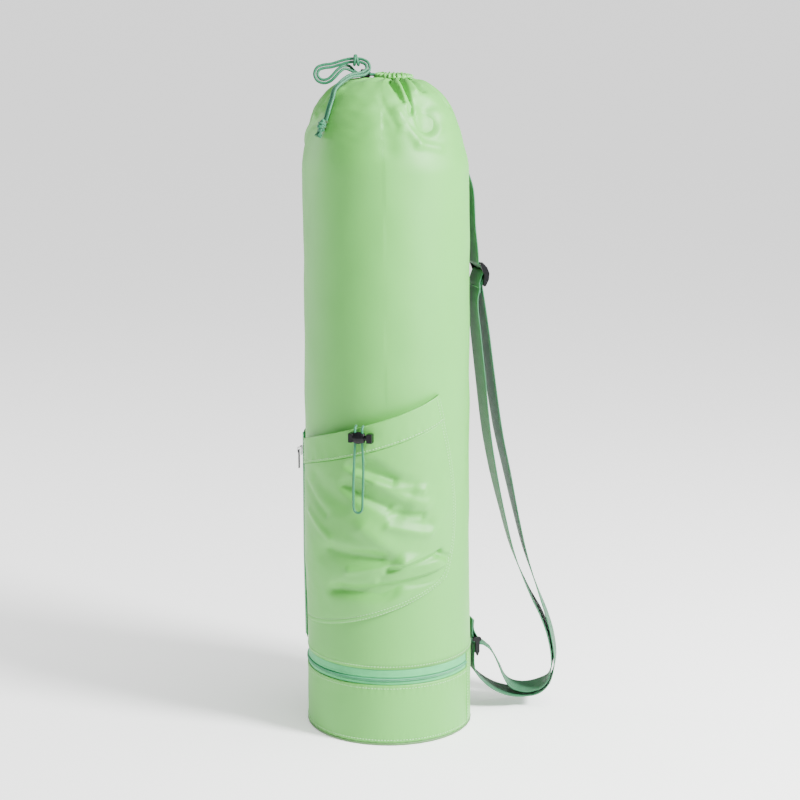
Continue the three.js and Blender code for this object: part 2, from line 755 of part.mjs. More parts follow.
// The slider in its own frame: X down the zip, Y across it, Z away from the bag. Its bail is an arch.
function sideSlider() {
  const plate = new THREE.BoxGeometry(sliderLength, sliderWidth, sliderThickness)
    .translate(0, 0, sliderThickness / 2);
  const leg = bailHalf - bailThickness;
  const beam = bailReach - 2 * pinHeight;
  const outline = new THREE.Shape([
    new THREE.Vector2(-bailHalf, 0),
    new THREE.Vector2(bailHalf, 0),
    new THREE.Vector2(bailHalf, bailReach * 0.7),
    new THREE.Vector2(leg, bailReach),
    new THREE.Vector2(-leg, bailReach),
    new THREE.Vector2(-bailHalf, bailReach * 0.7),
  ]);
  const arch = new THREE.ExtrudeGeometry(outline, { depth: bailThickness, bevelEnabled: false })
    .rotateX(Math.PI / 2).translate(0, bailThickness / 2, sliderThickness - 0.01);
  const window = new THREE.BoxGeometry(2 * leg, 2 * bailThickness, bailReach - beam)
    .translate(0, 0, sliderThickness + (bailReach - beam) / 2);
  return toGeometry(toSolid(arch).subtract(toSolid(window)).add(toSolid(plate)));
}

// The pull in the slider's frame: a flat tab whose end bar turns on the Y axis inside the bail.
function sidePull() {
  const length = pullLength + pinRadius;
  const tab = new THREE.BoxGeometry(length, pullWidth, pullThickness).translate(length / 2 - pinRadius, 0, 0);
  const eye = new THREE.BoxGeometry(2 * eyeReach, 2 * eyeHalfWidth, 2 * pullThickness);
  const pin = new THREE.CylinderGeometry(pinRadius, pinRadius, pullWidth - 1, 10);
  const pull = toSolid(tab).subtract(toSolid(eye)).add(toSolid(pin));
  return toGeometry(pull).translate(0, 0, sliderThickness + pinHeight);
}

const sideFrame = new THREE.Group();
const sideOut = onCircle(1, sideZipBearing, 0);
const sideDown = new THREE.Vector3(0, 0, -1);
sideFrame.quaternion.setFromRotationMatrix(new THREE.Matrix4().makeBasis(
  sideDown, new THREE.Vector3().crossVectors(sideOut, sideDown), sideOut,
));
sideFrame.position.copy(onBag(onSlider(sideSliderHeight), sideZipBearing, sideSliderHeight));
add('side_zip_slider', sideSlider(), 'steel', sideFrame);
add('side_zip_pull', sidePull(), 'plastic', sideFrame);
bag.add(sideFrame);

// Strap hardware: rails joined by round bars, in a frame with X away from the bag, Y along the bars and Z up

const railInside = strapWidth / 2 + 0.4;

function railed(outline, bars) {
  let solid = null;
  for (const side of [-1, 1]) {
    const shape = new THREE.Shape(outline);
    const rail = new THREE.ExtrudeGeometry(shape, { depth: buckleRail, bevelEnabled: false })
      .rotateX(Math.PI / 2).translate(0, side * (railInside + buckleRail / 2) + buckleRail / 2, 0);
    solid = solid ? solid.add(toSolid(rail)) : toSolid(rail);
  }
  for (const bar of bars) {
    const rod = new THREE.CylinderGeometry(bar.radius, bar.radius, 2 * railInside + buckleRail, 10)
      .translate(bar.x, 0, bar.z);
    solid = solid.add(toSolid(rod));
  }
  return toGeometry(solid);
}

const glideBarRadius = triGlideBar / 2;
const glideCentre = { radius: wallRadius(triGlideHeight) + triGlideOut, height: triGlideHeight };

function triGlide() {
  const half = triGlideLength / 2;
  const tip = glideBarRadius * 1.1;
  const crown = triGlideArch + glideBarRadius + 2 * strapThickness + 3 * threadGap;
  const outline = [
    [-tip, half], [tip, half], [crown * 0.8, half * 0.5], [crown, 0], [crown * 0.8, -half * 0.5],
    [tip, -half], [-tip, -half], [-tip * 0.6, -half * 0.6], [triGlideArch - glideBarRadius * 1.6, 0],
    [-tip * 0.6, half * 0.6],
  ].map(([x, y]) => new THREE.Vector2(x, y));
  const bars = [
    { x: 0, z: triGlideBarSpacing, radius: glideBarRadius },
    { x: triGlideArch, z: 0, radius: glideBarRadius },
    { x: 0, z: -triGlideBarSpacing, radius: glideBarRadius },
  ];
  return railed(outline, bars).rotateY(-radians(triGlideTilt));
}

const buckleCentre = { radius: wallRadius(buckleHeight) + buckleOut, height: buckleHeight };
const topBar = { x: -buckleTopInset, z: buckleTopRise, radius: 1.5 };

function lowerBuckle() {
  const lipTop = buckleTopRise + buckleLipHeight / 2;
  const lipLow = buckleTopRise - buckleLipHeight / 2;
  const lipFrom = -buckleOut + seamGap + 0.4;
  const half = buckleDepth / 2;
  const outline = [
    [lipFrom, lipLow + 0.6], [-half, lipLow], [-half, -buckleDrop * 0.5], [-half * 0.3, -buckleDrop],
    [half * 0.3, -buckleDrop], [half, -buckleDrop * 0.5], [half, lipLow],
    [lipFrom + buckleLipDepth, lipLow + 0.6],
    [lipFrom + buckleLipDepth, lipTop - 1.2], [lipFrom + buckleLipDepth - 2, lipTop], [lipFrom + 1.5, lipTop],
    [lipFrom, lipTop - 1.2],
  ].map(([x, y]) => new THREE.Vector2(x, y));
  const bars = [
    topBar,
    { x: 0, z: 0, radius: buckleBar / 2 },
    { x: 0, z: -buckleDrop * 0.76, radius: buckleBar * 0.36 },
  ];
  return railed(outline, bars);
}

function addAtStrap(name, geometry, centre) {
  const mesh = add(name, geometry, 'plastic');
  mesh.position.copy(onCircle(centre.radius, strapBearing, centre.height));
  mesh.rotation.z = radians(strapBearing - 90);
}
addAtStrap('strap_slider', triGlide(), glideCentre);
addAtStrap('lower_buckle', lowerBuckle(), buckleCentre);

// Webbing: a flat ribbon threaded round the bars. A turn of 1 runs anticlockwise round a bar, -1 clockwise.

function threaded(stops) {
  const points = [];
  const leave = stops.slice(0, -1).map((from, k) => {
    const to = stops[k + 1];
    const dx = to.x - from.x;
    const dy = to.y - from.y;
    const lean = Math.asin((to.turn * to.radius - from.turn * from.radius) / Math.hypot(dx, dy));
    return Math.atan2(dy, dx) - lean;
  });
  stops.forEach((stop, k) => {
    const first = leave[Math.max(k - 1, 0)] - (stop.turn * Math.PI) / 2;
    const last = leave[Math.min(k, leave.length - 1)] - (stop.turn * Math.PI) / 2;
    const sweep = THREE.MathUtils.euclideanModulo(stop.turn * (last - first), 2 * Math.PI);
    const steps = stop.radius === 0 || sweep < 0.01 ? 0 : Math.ceil(sweep / radians(40));
    for (let n = 0; n <= steps; n += 1) {
      const angle = first + (stop.turn * sweep * n) / Math.max(steps, 1);
      points.push({ x: stop.x + stop.radius * Math.cos(angle), y: stop.y + stop.radius * Math.sin(angle) });
    }
  });
  return points;
}

// A route point: its distance from the axis, its height, its turn past the strap's bearing and its twist.
function routePoint(radius, height, turn, twist) {
  return { place: onCircle(radius, strapBearing + turn, height), side: strapBearing + turn + twist };
}

// A route point in the tri-glide's frame: x runs down the strap and y away from the bag.
function atGlide(point) {
  const tilt = radians(triGlideTilt);
  const radius = glideCentre.radius + point.x * Math.sin(tilt) + point.y * Math.cos(tilt);
  return routePoint(radius, glideCentre.height - point.x * Math.cos(tilt) + point.y * Math.sin(tilt), 0, 0);
}

function atBuckle(point) {
  return routePoint(buckleCentre.radius + point.x, buckleCentre.height + point.y, 0, 0);
}

const layer = strapThickness + threadGap;
const onGlideBar = glideBarRadius + threadGap + strapThickness / 2;
const onBuckleBar = buckleBar / 2 + threadGap + strapThickness / 2;

// Free stretches: out is a share of strapReach, up a share of triGlideHeight, turn and twist are in degrees.
const innerStrand = [
  { out: 0.04, up: 0.942, turn: 0, twist: 0 },
  { out: 0.0755, up: 0.87, turn: 0, twist: 0 },
  { out: 0.127, up: 0.78, turn: 0, twist: 0 },
  { out: 0.2066, up: 0.645, turn: 0, twist: -2 },
  { out: 0.2915, up: 0.551, turn: 0, twist: -4 },
  { out: 0.4, up: 0.458, turn: 0, twist: -8 },
  { out: 0.533, up: 0.362, turn: 0, twist: -11 },
  { out: 0.731, up: 0.265, turn: -1, twist: -15 },
  { out: 0.854, up: 0.2155, turn: -2, twist: -18 },
  { out: 0.944, up: 0.165, turn: -3, twist: -20 },
  { out: 0.979, up: 0.114, turn: -4, twist: -20 },
  { out: 0.965, up: 0.084, turn: -4, twist: -20 },
  { out: 0.915, up: 0.06, turn: -4, twist: -20 },
  { out: 0.82, up: 0.0445, turn: -2, twist: -16 },
  { out: 0.69, up: 0.0375, turn: 0, twist: -12 },
  { out: 0.56, up: 0.044, turn: 1, twist: -12 },
  { out: 0.475, up: 0.06, turn: 1, twist: -14 },
  { out: 0.415, up: 0.083, turn: 1, twist: -15 },
  { out: 0.357, up: 0.108, turn: 1, twist: -12 },
  { out: 0.295, up: 0.1305, turn: 0, twist: -8 },
  { out: 0.225, up: 0.1475, turn: 0, twist: -3 },
  { out: 0.13, up: 0.1605, turn: 0, twist: 0 },
];
const outerStrand = [
  { out: 0.03, up: 0.132, turn: 0, twist: 0 },
  { out: 0.034, up: 0.113, turn: 0, twist: 0 },
  { out: 0.06, up: 0.097, turn: 0, twist: -3 },
  { out: 0.118, up: 0.082, turn: 0, twist: -6 },
  { out: 0.216, up: 0.0625, turn: 0, twist: -8 },
  { out: 0.355, up: 0.0435, turn: 0, twist: -10 },
  { out: 0.524, up: 0.031, turn: 0, twist: -12 },
  { out: 0.685, up: 0.0275, turn: 0, twist: -12 },
  { out: 0.825, up: 0.0345, turn: -2, twist: -16 },
  { out: 0.935, up: 0.0545, turn: -4, twist: -20 },
  { out: 0.995, up: 0.083, turn: -4, twist: -20 },
  { out: 1.01, up: 0.114, turn: -4, twist: -20 },
  { out: 0.982, up: 0.165, turn: -3, twist: -20 },
  { out: 0.918, up: 0.2145, turn: -2, twist: -18 },
  { out: 0.835, up: 0.263, turn: -1, twist: -15 },
  { out: 0.675, up: 0.361, turn: 0, twist: -11 },
  { out: 0.555, up: 0.456, turn: 0, twist: -8 },
  { out: 0.45, up: 0.55, turn: 0, twist: -4 },
  { out: 0.345, up: 0.643, turn: 0, twist: -2 },
  { out: 0.235, up: 0.78, turn: 0, twist: 0 },
  { out: 0.173, up: 0.87, turn: 0, twist: 0 },
  { out: 0.116, up: 0.942, turn: 0, twist: 0 },
];
// Above the tri-glide the webbing turns towards the back, where its end is sewn to the foot of the dome.
const upperStrand = [
  { out: 0.041, up: 1.05, turn: 1.5, twist: 0 },
  { out: 0.022, up: 1.1, turn: 4.5, twist: 0 },
  { out: 0.008, up: 1.18, turn: 8.5, twist: 0 },
];
const sewnEnd = [
  { level: 1, turn: 12 },
  { level: 1.1, turn: 14 },
  { level: 1.2, turn: 15.5 },
  { level: 1.3, turn: 17 },
];

function freeStretch(rows) {
  return rows.map((row) => (
    routePoint(baseRadius + row.out * strapReach, row.up * triGlideHeight, row.turn, row.twist)
  ));
}

const spacing = triGlideBarSpacing;
const tailEnd = { x: triGlideLength * 0.75, y: -onGlideBar - 2 * layer - 0.2, radius: 0, turn: 1 };

function strapRoute() {
  const below = triGlideLength * 0.8;
  const wrap = threaded([
    tailEnd,
    { x: spacing, y: 0, radius: onGlideBar + 2 * layer, turn: -1 },
    { x: 0, y: triGlideArch, radius: onGlideBar, turn: -1 },
    { x: spacing, y: 0, radius: onGlideBar + layer, turn: 1 },
    { x: below, y: -onGlideBar - layer - 0.6, radius: 0, turn: 1 },
  ]).slice(0, -1).map(atGlide);
  const through = threaded([
    { x: below, y: -onGlideBar + 0.4, radius: 0, turn: 1 },
    { x: spacing, y: 0, radius: onGlideBar, turn: -1 },
    { x: 0, y: triGlideArch, radius: onGlideBar + layer, turn: 1 },
    { x: -spacing, y: 0, radius: onGlideBar, turn: -1 },
    { x: -below, y: -onGlideBar, radius: 0, turn: 1 },
  ]).slice(1, -1).map(atGlide);
  const round = threaded([
    { x: 10, y: onBuckleBar - 0.6, radius: 0, turn: 1 },
    { x: 0, y: 0, radius: onBuckleBar, turn: 1 },
    { x: -onBuckleBar, y: -10, radius: 0, turn: 1 },
  ]).slice(1, -1).map(atBuckle);
  const sewn = sewnEnd.map((row) => {
    const bearing = strapBearing + row.turn;
    return { place: bodyPoint(row.level, bearing, seamGap + strapThickness / 2 + 0.1), side: bearing };
  });
  return [
    ...wrap, ...freeStretch(innerStrand), ...round, ...freeStretch(outerStrand),
    ...through, ...freeStretch(upperStrand), ...sewn,
  ];
}

// A flat ribbon along a route, with stations no further apart than spacing.
function ribbon(route, width, thickness, spacingAlong) {
  const path = new THREE.CatmullRomCurve3(route.map((point) => point.place), false, 'centripetal');
  const last = route.length - 1;
  const stations = [];
  for (let k = 0; k < last; k += 1) {
    const length = route[k].place.distanceTo(route[k + 1].place);
    const steps = Math.max(1, Math.ceil(length / spacingAlong));
    for (let n = 0; n < steps; n += 1) stations.push(k + n / steps);
  }
  stations.push(last);
  const frames = stations.map((at) => {
    const k = Math.min(Math.floor(at), last - 1);
    const bearing = radians(mix(route[k].side, route[k + 1].side, at - k));
    const along = path.getTangent(at / last);
    const across = new THREE.Vector3(Math.cos(bearing), Math.sin(bearing), 0);
    across.addScaledVector(along, -across.dot(along)).normalize();
    return { place: path.getPoint(at / last), across, out: new THREE.Vector3().crossVectors(across, along) };
  });
  return bent(new THREE.BoxGeometry(1, 1, 1, 1, frames.length - 1, 1), (p) => {
    const frame = frames[Math.round((p.y + 0.5) * (frames.length - 1))];
    return frame.place.clone()
      .addScaledVector(frame.across, p.x * width)
      .addScaledVector(frame.out, p.z * thickness);
  });
}
add('strap_webbing', ribbon(strapRoute(), strapWidth, strapThickness, 26), 'webbing');

function tabRoute() {
  const wall = -buckleOut + seamGap + strapThickness / 2;
  const onTopBar = topBar.radius + threadGap + strapThickness / 2;
  return threaded([
    { x: wall, y: topBar.z + tabLength, radius: 0, turn: 1 },
    { x: wall, y: topBar.z + tabLength * 0.36, radius: 0, turn: 1 },
    { x: topBar.x, y: topBar.z, radius: onTopBar, turn: 1 },
    { x: wall + layer, y: topBar.z + tabLength * 0.46, radius: 0, turn: 1 },
    { x: wall + layer, y: topBar.z + tabLength * 0.92, radius: 0, turn: 1 },
  ]).map(atBuckle);
}
add('lower_tab', ribbon(tabRoute(), strapWidth, strapThickness, 12), 'webbing');

// Neck lock, lying on the dome to the left of the neck, with its button towards the back

const neckLockCentre = new THREE.Vector3(-31.5, 2, 4).add(neckCentre);
const neckLockTilt = 5;

addLock('neck_lock', (group) => {
  const leaving = new THREE.Vector3(-Math.cos(radians(neckLockTilt)), 0, Math.sin(radians(neckLockTilt)));
  const back = new THREE.Vector3(0, 1, 0);
  group.quaternion.setFromRotationMatrix(new THREE.Matrix4().makeBasis(
    back, new THREE.Vector3().crossVectors(leaving, back), leaving,
  ));
  group.position.copy(neckLockCentre);
});

// The two ends of the drawcord leave the hem side by side, pass the lock, make the bow's loops and its right
// turn, and run down the dome to the end knot. Places are from the neck's centre, spread is half the spacing.
const bowRoute = [
  { x: -22.4, y: 2, z: 3.3, spread: 4.1, lean: 0 },
  { x: -24.6, y: 2, z: 3.4, spread: 4.1, lean: 0 },
  { x: -31.5, y: 2, z: 4, spread: 4.1, lean: 0 },
  { x: -38.8, y: 2, z: 4.6, spread: 4.1, lean: 0 },
  { x: -43.5, y: 0.4, z: 6.8, spread: 3.4, lean: 20 },
  { x: -48.5, y: -2.6, z: 10.4, spread: 2.1, lean: 60 },
  { x: -54, y: -5.5, z: 11.6, spread: 1.8, lean: 90 },
  { x: -60.5, y: -8, z: 7.6, spread: 1.8, lean: 90 },
  { x: -65.7, y: -9.4, z: 2, spread: 1.8, lean: 90 },
  { x: -71, y: -10.2, z: -2.4, spread: 1.8, lean: 90 },
  { x: -77.4, y: -10.4, z: -3.8, spread: 1.8, lean: 90 },
  { x: -83, y: -9.6, z: -1.5, spread: 1.8, lean: 90 },
  { x: -85.4, y: -8.6, z: 4.2, spread: 1.8, lean: 90 },
  { x: -83, y: -7.6, z: 9.9, spread: 1.8, lean: 90 },
  { x: -77.4, y: -6.8, z: 12.2, spread: 1.8, lean: 90 },
  { x: -67.5, y: -6, z: 13.6, spread: 1.8, lean: 90 },
  { x: -57, y: -6, z: 16.8, spread: 1.8, lean: 90 },
  { x: -49.5, y: -6, z: 18.6, spread: 1.8, lean: 90 },
  { x: -41.5, y: -6, z: 19, spread: 1.8, lean: 90, knotted: true },
  { x: -35, y: -6.2, z: 18.4, spread: 1.8, lean: 90 },
  { x: -29.4, y: -8.2, z: 15.4, spread: 1.8, lean: 90 },
  { x: -28, y: -11, z: 9.8, spread: 1.8, lean: 90 },
  { x: -32, y: -15, z: 5.6, spread: 1.8, lean: 75 },
  { x: -39, y: -20, z: 4, spread: 1.8, lean: 55 },
  { x: -48.5, y: -26.5, z: 2, spread: 1.8, lean: 40 },
];
const tailRoute = [
  { bearing: -53, dome: 0.66 },
  { bearing: -50, dome: 0.57 },
  { bearing: -48.5, dome: 0.49 },
  { bearing: -48, dome: 0.43 },
  { bearing: -48.8, dome: 0.38 },
];
const tailSpread = 1.8;
const bowKnotRow = bowRoute.find((row) => row.knotted);

function drawcordPoints(side) {
  const rows = bowRoute.map((row) => ({
    place: new THREE.Vector3(row.x, row.y, row.z).add(neckCentre),
    facing: new THREE.Vector3(0, -Math.sin(radians(row.lean)), Math.cos(radians(row.lean))),
    spread: row.spread,
  })).concat(tailRoute.map((row) => {
    const place = bodyPoint(1 + row.dome, row.bearing, cordDiameter / 2 + seamGap);
    const facing = bodyPoint(1 + row.dome, row.bearing, cordDiameter + seamGap).sub(place).normalize();
    return { place, facing, spread: tailSpread };
  }));
  const middle = new THREE.CatmullRomCurve3(rows.map((row) => row.place), false, 'centripetal');
  return rows.map((row, k) => {
    const along = middle.getTangent(k / (rows.length - 1));
    const offset = along.cross(row.facing).normalize().multiplyScalar(side * row.spread);
    return row.place.clone().add(offset);
  });
}
add('drawcord_a', cordAlong(drawcordPoints(-1), cordDiameter, 38), 'cord');
add('drawcord_b', cordAlong(drawcordPoints(1), cordDiameter, 38), 'cord');

// A turn of cord round a bundle along X: an oval ring whose opening is wide by high.
function turnOfCord(wide, high, lean) {
  const tube = cordDiameter / 2;
  const middle = 4 * tube;
  const ringShape = new THREE.TorusGeometry(middle, tube, 5, 10);
  return toSolid(bent(ringShape, (p) => {
    const angle = Math.atan2(p.y, p.x);
    const out = Math.hypot(p.x, p.y) - middle;
    const y = Math.cos(angle) * (wide / 2 + tube + out);
    const z = Math.sin(angle) * (high / 2 + tube + out);
    return new THREE.Vector3(p.z + lean * z, y, z);
  }));
}

function bowKnot() {
  const clear = 2 * seamGap;
  const wide = cordDiameter + clear;
  const high = cordDiameter + 2 * bowKnotRow.spread + clear;
  const first = turnOfCord(wide, high, 0.16).translate([-cordDiameter * 0.36, 0, 0]);
  const second = turnOfCord(wide, high, -0.2).translate([cordDiameter * 0.4, 0, 0]);
  return toGeometry(first.add(second));
}
const bowKnotMesh = add('bow_knot', bowKnot(), 'cord');
bowKnotMesh.position.set(bowKnotRow.x, bowKnotRow.y, bowKnotRow.z).add(neckCentre);

// The knot that ends both tails: a core with turns of cord round it and two short ends.
const endKnotLength = 12;
const endKnotTips = 9;

function endKnot() {
  const core = new THREE.CylinderGeometry(cordDiameter, cordDiameter * 0.9, endKnotLength, 8)
    .scale(1, 1, 1.25).rotateZ(Math.PI / 2).translate(endKnotLength / 2, 0, 0);
  let solid = toSolid(core);
  for (const [at, lean] of [[0.28, 0.25], [0.7, -0.3]]) {
    const turn = turnOfCord(cordDiameter * 0.9, cordDiameter * 1.1, lean);
    solid = solid.add(turn.translate([at * endKnotLength, 0, 0]));
  }
  for (const side of [-1, 1]) {
    const tip = new THREE.CylinderGeometry(cordDiameter * 0.62, cordDiameter * 0.42, endKnotTips, 6)
      .rotateZ(Math.PI / 2).rotateZ(side * 0.1)
      .translate(endKnotLength + endKnotTips * 0.4, side * cordDiameter * 0.62, 0);
    solid = solid.add(toSolid(tip));
  }
  return toGeometry(solid);
}

function addEndKnot() {
  const tail = tailRoute[tailRoute.length - 1];
  const before = tailRoute[tailRoute.length - 2];
  const offset = cordDiameter / 2 + seamGap;
  const end = bodyPoint(1 + tail.dome, tail.bearing, offset);
  const along = end.clone().sub(bodyPoint(1 + before.dome, before.bearing, offset)).normalize();
  const out = bodyPoint(1 + tail.dome, tail.bearing, offset + 1).sub(end);
  out.addScaledVector(along, -out.dot(along)).normalize();
  const mesh = add('end_knot', endKnot(), 'cord');
  mesh.quaternion.setFromRotationMatrix(new THREE.Matrix4().makeBasis(
    along, new THREE.Vector3().crossVectors(out, along), out,
  ));
  mesh.position.copy(end).addScaledVector(along, seamGap + 0.2).addScaledVector(out, cordDiameter * 0.9);
}
addEndKnot();

export default bag;
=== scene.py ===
import json
import math

import bpy
import numpy as np
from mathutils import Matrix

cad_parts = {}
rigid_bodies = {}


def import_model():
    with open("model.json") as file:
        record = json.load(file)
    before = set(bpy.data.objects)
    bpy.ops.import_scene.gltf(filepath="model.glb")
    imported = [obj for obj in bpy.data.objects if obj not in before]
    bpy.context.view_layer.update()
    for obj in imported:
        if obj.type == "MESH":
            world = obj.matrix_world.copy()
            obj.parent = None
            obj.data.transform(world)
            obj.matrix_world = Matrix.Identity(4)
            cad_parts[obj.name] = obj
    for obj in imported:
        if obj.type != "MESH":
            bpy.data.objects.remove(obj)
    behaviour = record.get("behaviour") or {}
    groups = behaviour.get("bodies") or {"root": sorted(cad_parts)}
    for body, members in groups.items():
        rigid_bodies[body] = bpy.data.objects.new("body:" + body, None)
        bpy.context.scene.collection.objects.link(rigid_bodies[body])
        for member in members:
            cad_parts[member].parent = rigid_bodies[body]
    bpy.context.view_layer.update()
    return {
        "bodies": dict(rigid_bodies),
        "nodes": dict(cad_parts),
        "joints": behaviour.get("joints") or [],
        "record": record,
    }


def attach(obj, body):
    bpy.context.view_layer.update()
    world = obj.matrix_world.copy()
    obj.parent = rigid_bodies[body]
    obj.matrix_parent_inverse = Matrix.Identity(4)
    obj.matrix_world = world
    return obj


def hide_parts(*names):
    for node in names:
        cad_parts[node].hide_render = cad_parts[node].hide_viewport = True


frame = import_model()
BODY = "bag"

# Sizes of the bag in millimetres, the same as in its solids
BASE_RADIUS = 95.5
SHOULDER_RADIUS = 93.5
SHOULDER_HEIGHT = 642
NECK_RADIUS = 18
NECK_SHIFT = 5.5
NECK_HEIGHT = 744.8
ROUNDNESS = 2.3
ZIP_TOP = 90
CLOTH = 1.6
GAP = 0.3
CORD = 3.2
ELASTIC = 2.8
STRAP_WIDTH = 38
STRAP_THICK = 1.4
STRAP_BEARING = 106
STRAP_REACH = 106
GLIDE_HEIGHT = 524.3
LOCK_BEARING = -15.8
LOCK_HEIGHT = 360.7
LOCK_RADIUS = 112.06120370745084

DOME_END = math.acos((NECK_RADIUS / SHOULDER_RADIUS) ** (ROUNDNESS / 2))
DOME_RISE = (NECK_HEIGHT - SHOULDER_HEIGHT) / math.sin(DOME_END) ** (2 / ROUNDNESS)
DOME_ARC = (SHOULDER_RADIUS + DOME_RISE) * 0.79
NECK = np.array([NECK_SHIFT, 0, NECK_HEIGHT])
# How far the bag's axis has moved to the left at each of four heights
LEAN_HEIGHTS = (90, 200, 560, 642)
LEAN_SHIFTS = (0, -1.9, -2.4, -3.8)
NECK_PULL = NECK_SHIFT - LEAN_SHIFTS[-1]
# Round the cloth: its radius in mm, and mm to each degree
SKIN_RADIUS = 95
PER_DEGREE = 1.66


# Camera, at the photograph's place

SENSOR = 36
FOCAL = 1965 / 800 * SENSOR
CAMERA_PLACE = (0.0126, -2.2, 0.832)
CAMERA_DOWN = 11.59


def linked(name, data):
    obj = bpy.data.objects.new(name, data)
    bpy.context.scene.collection.objects.link(obj)
    return obj


def make_camera():
    data = bpy.data.cameras.new("camera")
    data.lens = FOCAL
    data.sensor_width = SENSOR
    data.clip_end = 1500
    camera = linked("camera", data)
    camera.location = CAMERA_PLACE
    camera.rotation_euler = (math.radians(90 - CAMERA_DOWN), 0, 0)
    bpy.context.scene.camera = camera


make_camera()


# Mesh helpers

def on_circle(radius, bearing, height):
    turn = np.radians(bearing)
    radius, turn, height = np.broadcast_arrays(radius, turn, height)
    return np.stack([radius * np.sin(turn), -radius * np.cos(turn), height], axis=-1).astype(float)


def on_bag(radius, bearing, height):
    """A place round the bag's own axis, which leans a little to the left as it rises."""
    point = on_circle(radius, bearing, height)
    point[..., 0] += np.interp(point[..., 2], LEAN_HEIGHTS, LEAN_SHIFTS)
    return point


def smooth(start, end, value):
    share = np.clip((value - start) / (end - start), 0, 1)
    return share * share * (3 - 2 * share)


def mix(start, end, share):
    return start + (end - start) * share


def column(rows, value):
    keys = [row[0] for row in rows]
    shares = np.interp(value, keys, range(len(keys)))
    low = np.minimum(np.floor(shares).astype(int), len(keys) - 2)
    share = smooth(0, 1, shares - low)
    values = np.array([row[1] for row in rows], float)
    return mix(values[low], values[low + 1], share)


FIELD_WAVES = 14


def field(x, y, size, seed, lean=0, spread=math.pi):
    """A smooth bumpy field, mostly from -1 to 1, of bumps about size wide. Its waves run round lean."""
    pick = np.random.default_rng(seed)
    total = np.zeros(np.broadcast(x, y).shape)
    for _ in range(FIELD_WAVES):
        turn = lean + pick.uniform(-spread, spread)
        pace = 2 * math.pi / (size * pick.uniform(0.7, 1.6))
        along = x * math.cos(turn) + y * math.sin(turn)
        total = total + np.cos(pace * along + pick.uniform(0, 2 * math.pi))
    return total / math.sqrt(FIELD_WAVES) / 1.6


def new_object(name, verts, faces, material):
    """A smoothly shaded mesh object from places in mm."""
    mesh = bpy.data.meshes.new(name)
    mesh.from_pydata([tuple(v) for v in np.asarray(verts, float) * 0.001], [], faces)
    mesh.update()
    mesh.polygons.foreach_set("use_smooth", [True] * len(mesh.polygons))
    mesh.materials.append(material)
    return linked(name, mesh)


def grid_faces(rows, cols, wrap, start=0, flip=False):
    faces = []
    across = cols if wrap else cols - 1
    for r in range(rows - 1):
        low = start + r * cols
        for c in range(across):
            d = (c + 1) % cols
            quad = (low + c, low + d, low + cols + d, low + cols + c)
            faces.append(quad[::-1] if flip else quad)
    return faces


def ring_faces(rings, cols):
    """Faces of rings whose last one joins the first."""
    last = (rings - 1) * cols
    closing = [(last + c, last + (c + 1) % cols, (c + 1) % cols, c) for c in range(cols)]
    return grid_faces(rings, cols, True) + closing


def tube_faces(rings, sides, start=0):
    """Faces of rings in a row with both ends closed."""
    last = start + (rings - 1) * sides
    ends = [tuple(range(start, start + sides))[::-1], tuple(range(last, last + sides))]
    return grid_faces(rings, sides, True, start) + ends


def uv_grid(across, up):
    return np.stack(np.broadcast_arrays(across, up), axis=-1).reshape(-1, 2)


def with_uv(obj, uv):
    """uv is one (u, v) in metres for each vertex."""
    layer = obj.data.uv_layers.new(name="cloth")
    loops = np.zeros(len(obj.data.loops), dtype=np.int32)
    obj.data.loops.foreach_get("vertex_index", loops)
    layer.data.foreach_set("uv", np.asarray(uv, float)[loops].ravel())


def two_layers(name, outer, inner, uv, material):
    """A sheet of cloth from two grids of places, joined round their edge. Both layers share uv."""
    rows, cols = outer.shape[:2]
    count = rows * cols
    faces = grid_faces(rows, cols, False) + grid_faces(rows, cols, False, count, flip=True)
    edge = list(range(cols)) + [r * cols + cols - 1 for r in range(1, rows)]
    edge += [(rows - 1) * cols + c for c in range(cols - 2, -1, -1)]
    edge += [r * cols for r in range(rows - 2, 0, -1)]
    for here, there in zip(edge, edge[1:] + edge[:1]):
        faces.append((there, here, here + count, there + count))
    verts = np.concatenate([outer.reshape(-1, 3), inner.reshape(-1, 3)])
    obj = new_object(name, verts, faces, material)
    with_uv(obj, np.concatenate([uv, uv]))
    return obj


def finish_piece(obj, slot, *nodes):
    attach(obj, BODY)
    if nodes:
        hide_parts(*nodes)
    return obj


# Materials

def shader(name, color, rough, sheen=0.0, metal=0.0):
    material = bpy.data.materials.new(name)
    material.use_nodes = True
    principled = material.node_tree.nodes["Principled BSDF"]
    principled.inputs["Base Color"].default_value = (*color, 1)
    principled.inputs["Roughness"].default_value = rough
    principled.inputs["Metallic"].default_value = metal
    if sheen:
        principled.inputs["Sheen Weight"].default_value = sheen
        principled.inputs["Sheen Roughness"].default_value = 0.4
    return material, material.node_tree, principled


def node(tree, kind, **values):
    made = tree.nodes.new(kind)
    for key, value in values.items():
        if key in made.inputs:
            made.inputs[key].default_value = value
        else:
            setattr(made, key, value)
    return made


def texture(tree, kind, coords, **values):
    where = node(tree, "ShaderNodeTexCoord")
    made = node(tree, kind, **values)
    tree.links.new(where.outputs[coords], made.inputs["Vector"])
    return made.outputs["Fac"]


def tinted(tree, principled, color, scale, amount):
    """The colour drifts by amount around color, in patches of 1/scale metres."""
    noise = texture(tree, "ShaderNodeTexNoise", "Object", Scale=scale, Detail=4.0, Roughness=0.6)
    ramp = node(tree, "ShaderNodeValToRGB")
    for element, position, share in zip(ramp.color_ramp.elements, (0.3, 0.7), (1 - amount, 1 + amount)):
        element.position = position
        element.color = (*[min(1, c * share) for c in color], 1)
    tree.links.new(noise, ramp.inputs["Fac"])
    tree.links.new(ramp.outputs["Color"], principled.inputs["Base Color"])


# Radians of a wave texture's bands in one metre at a scale of 1
WAVE_PACE = 20


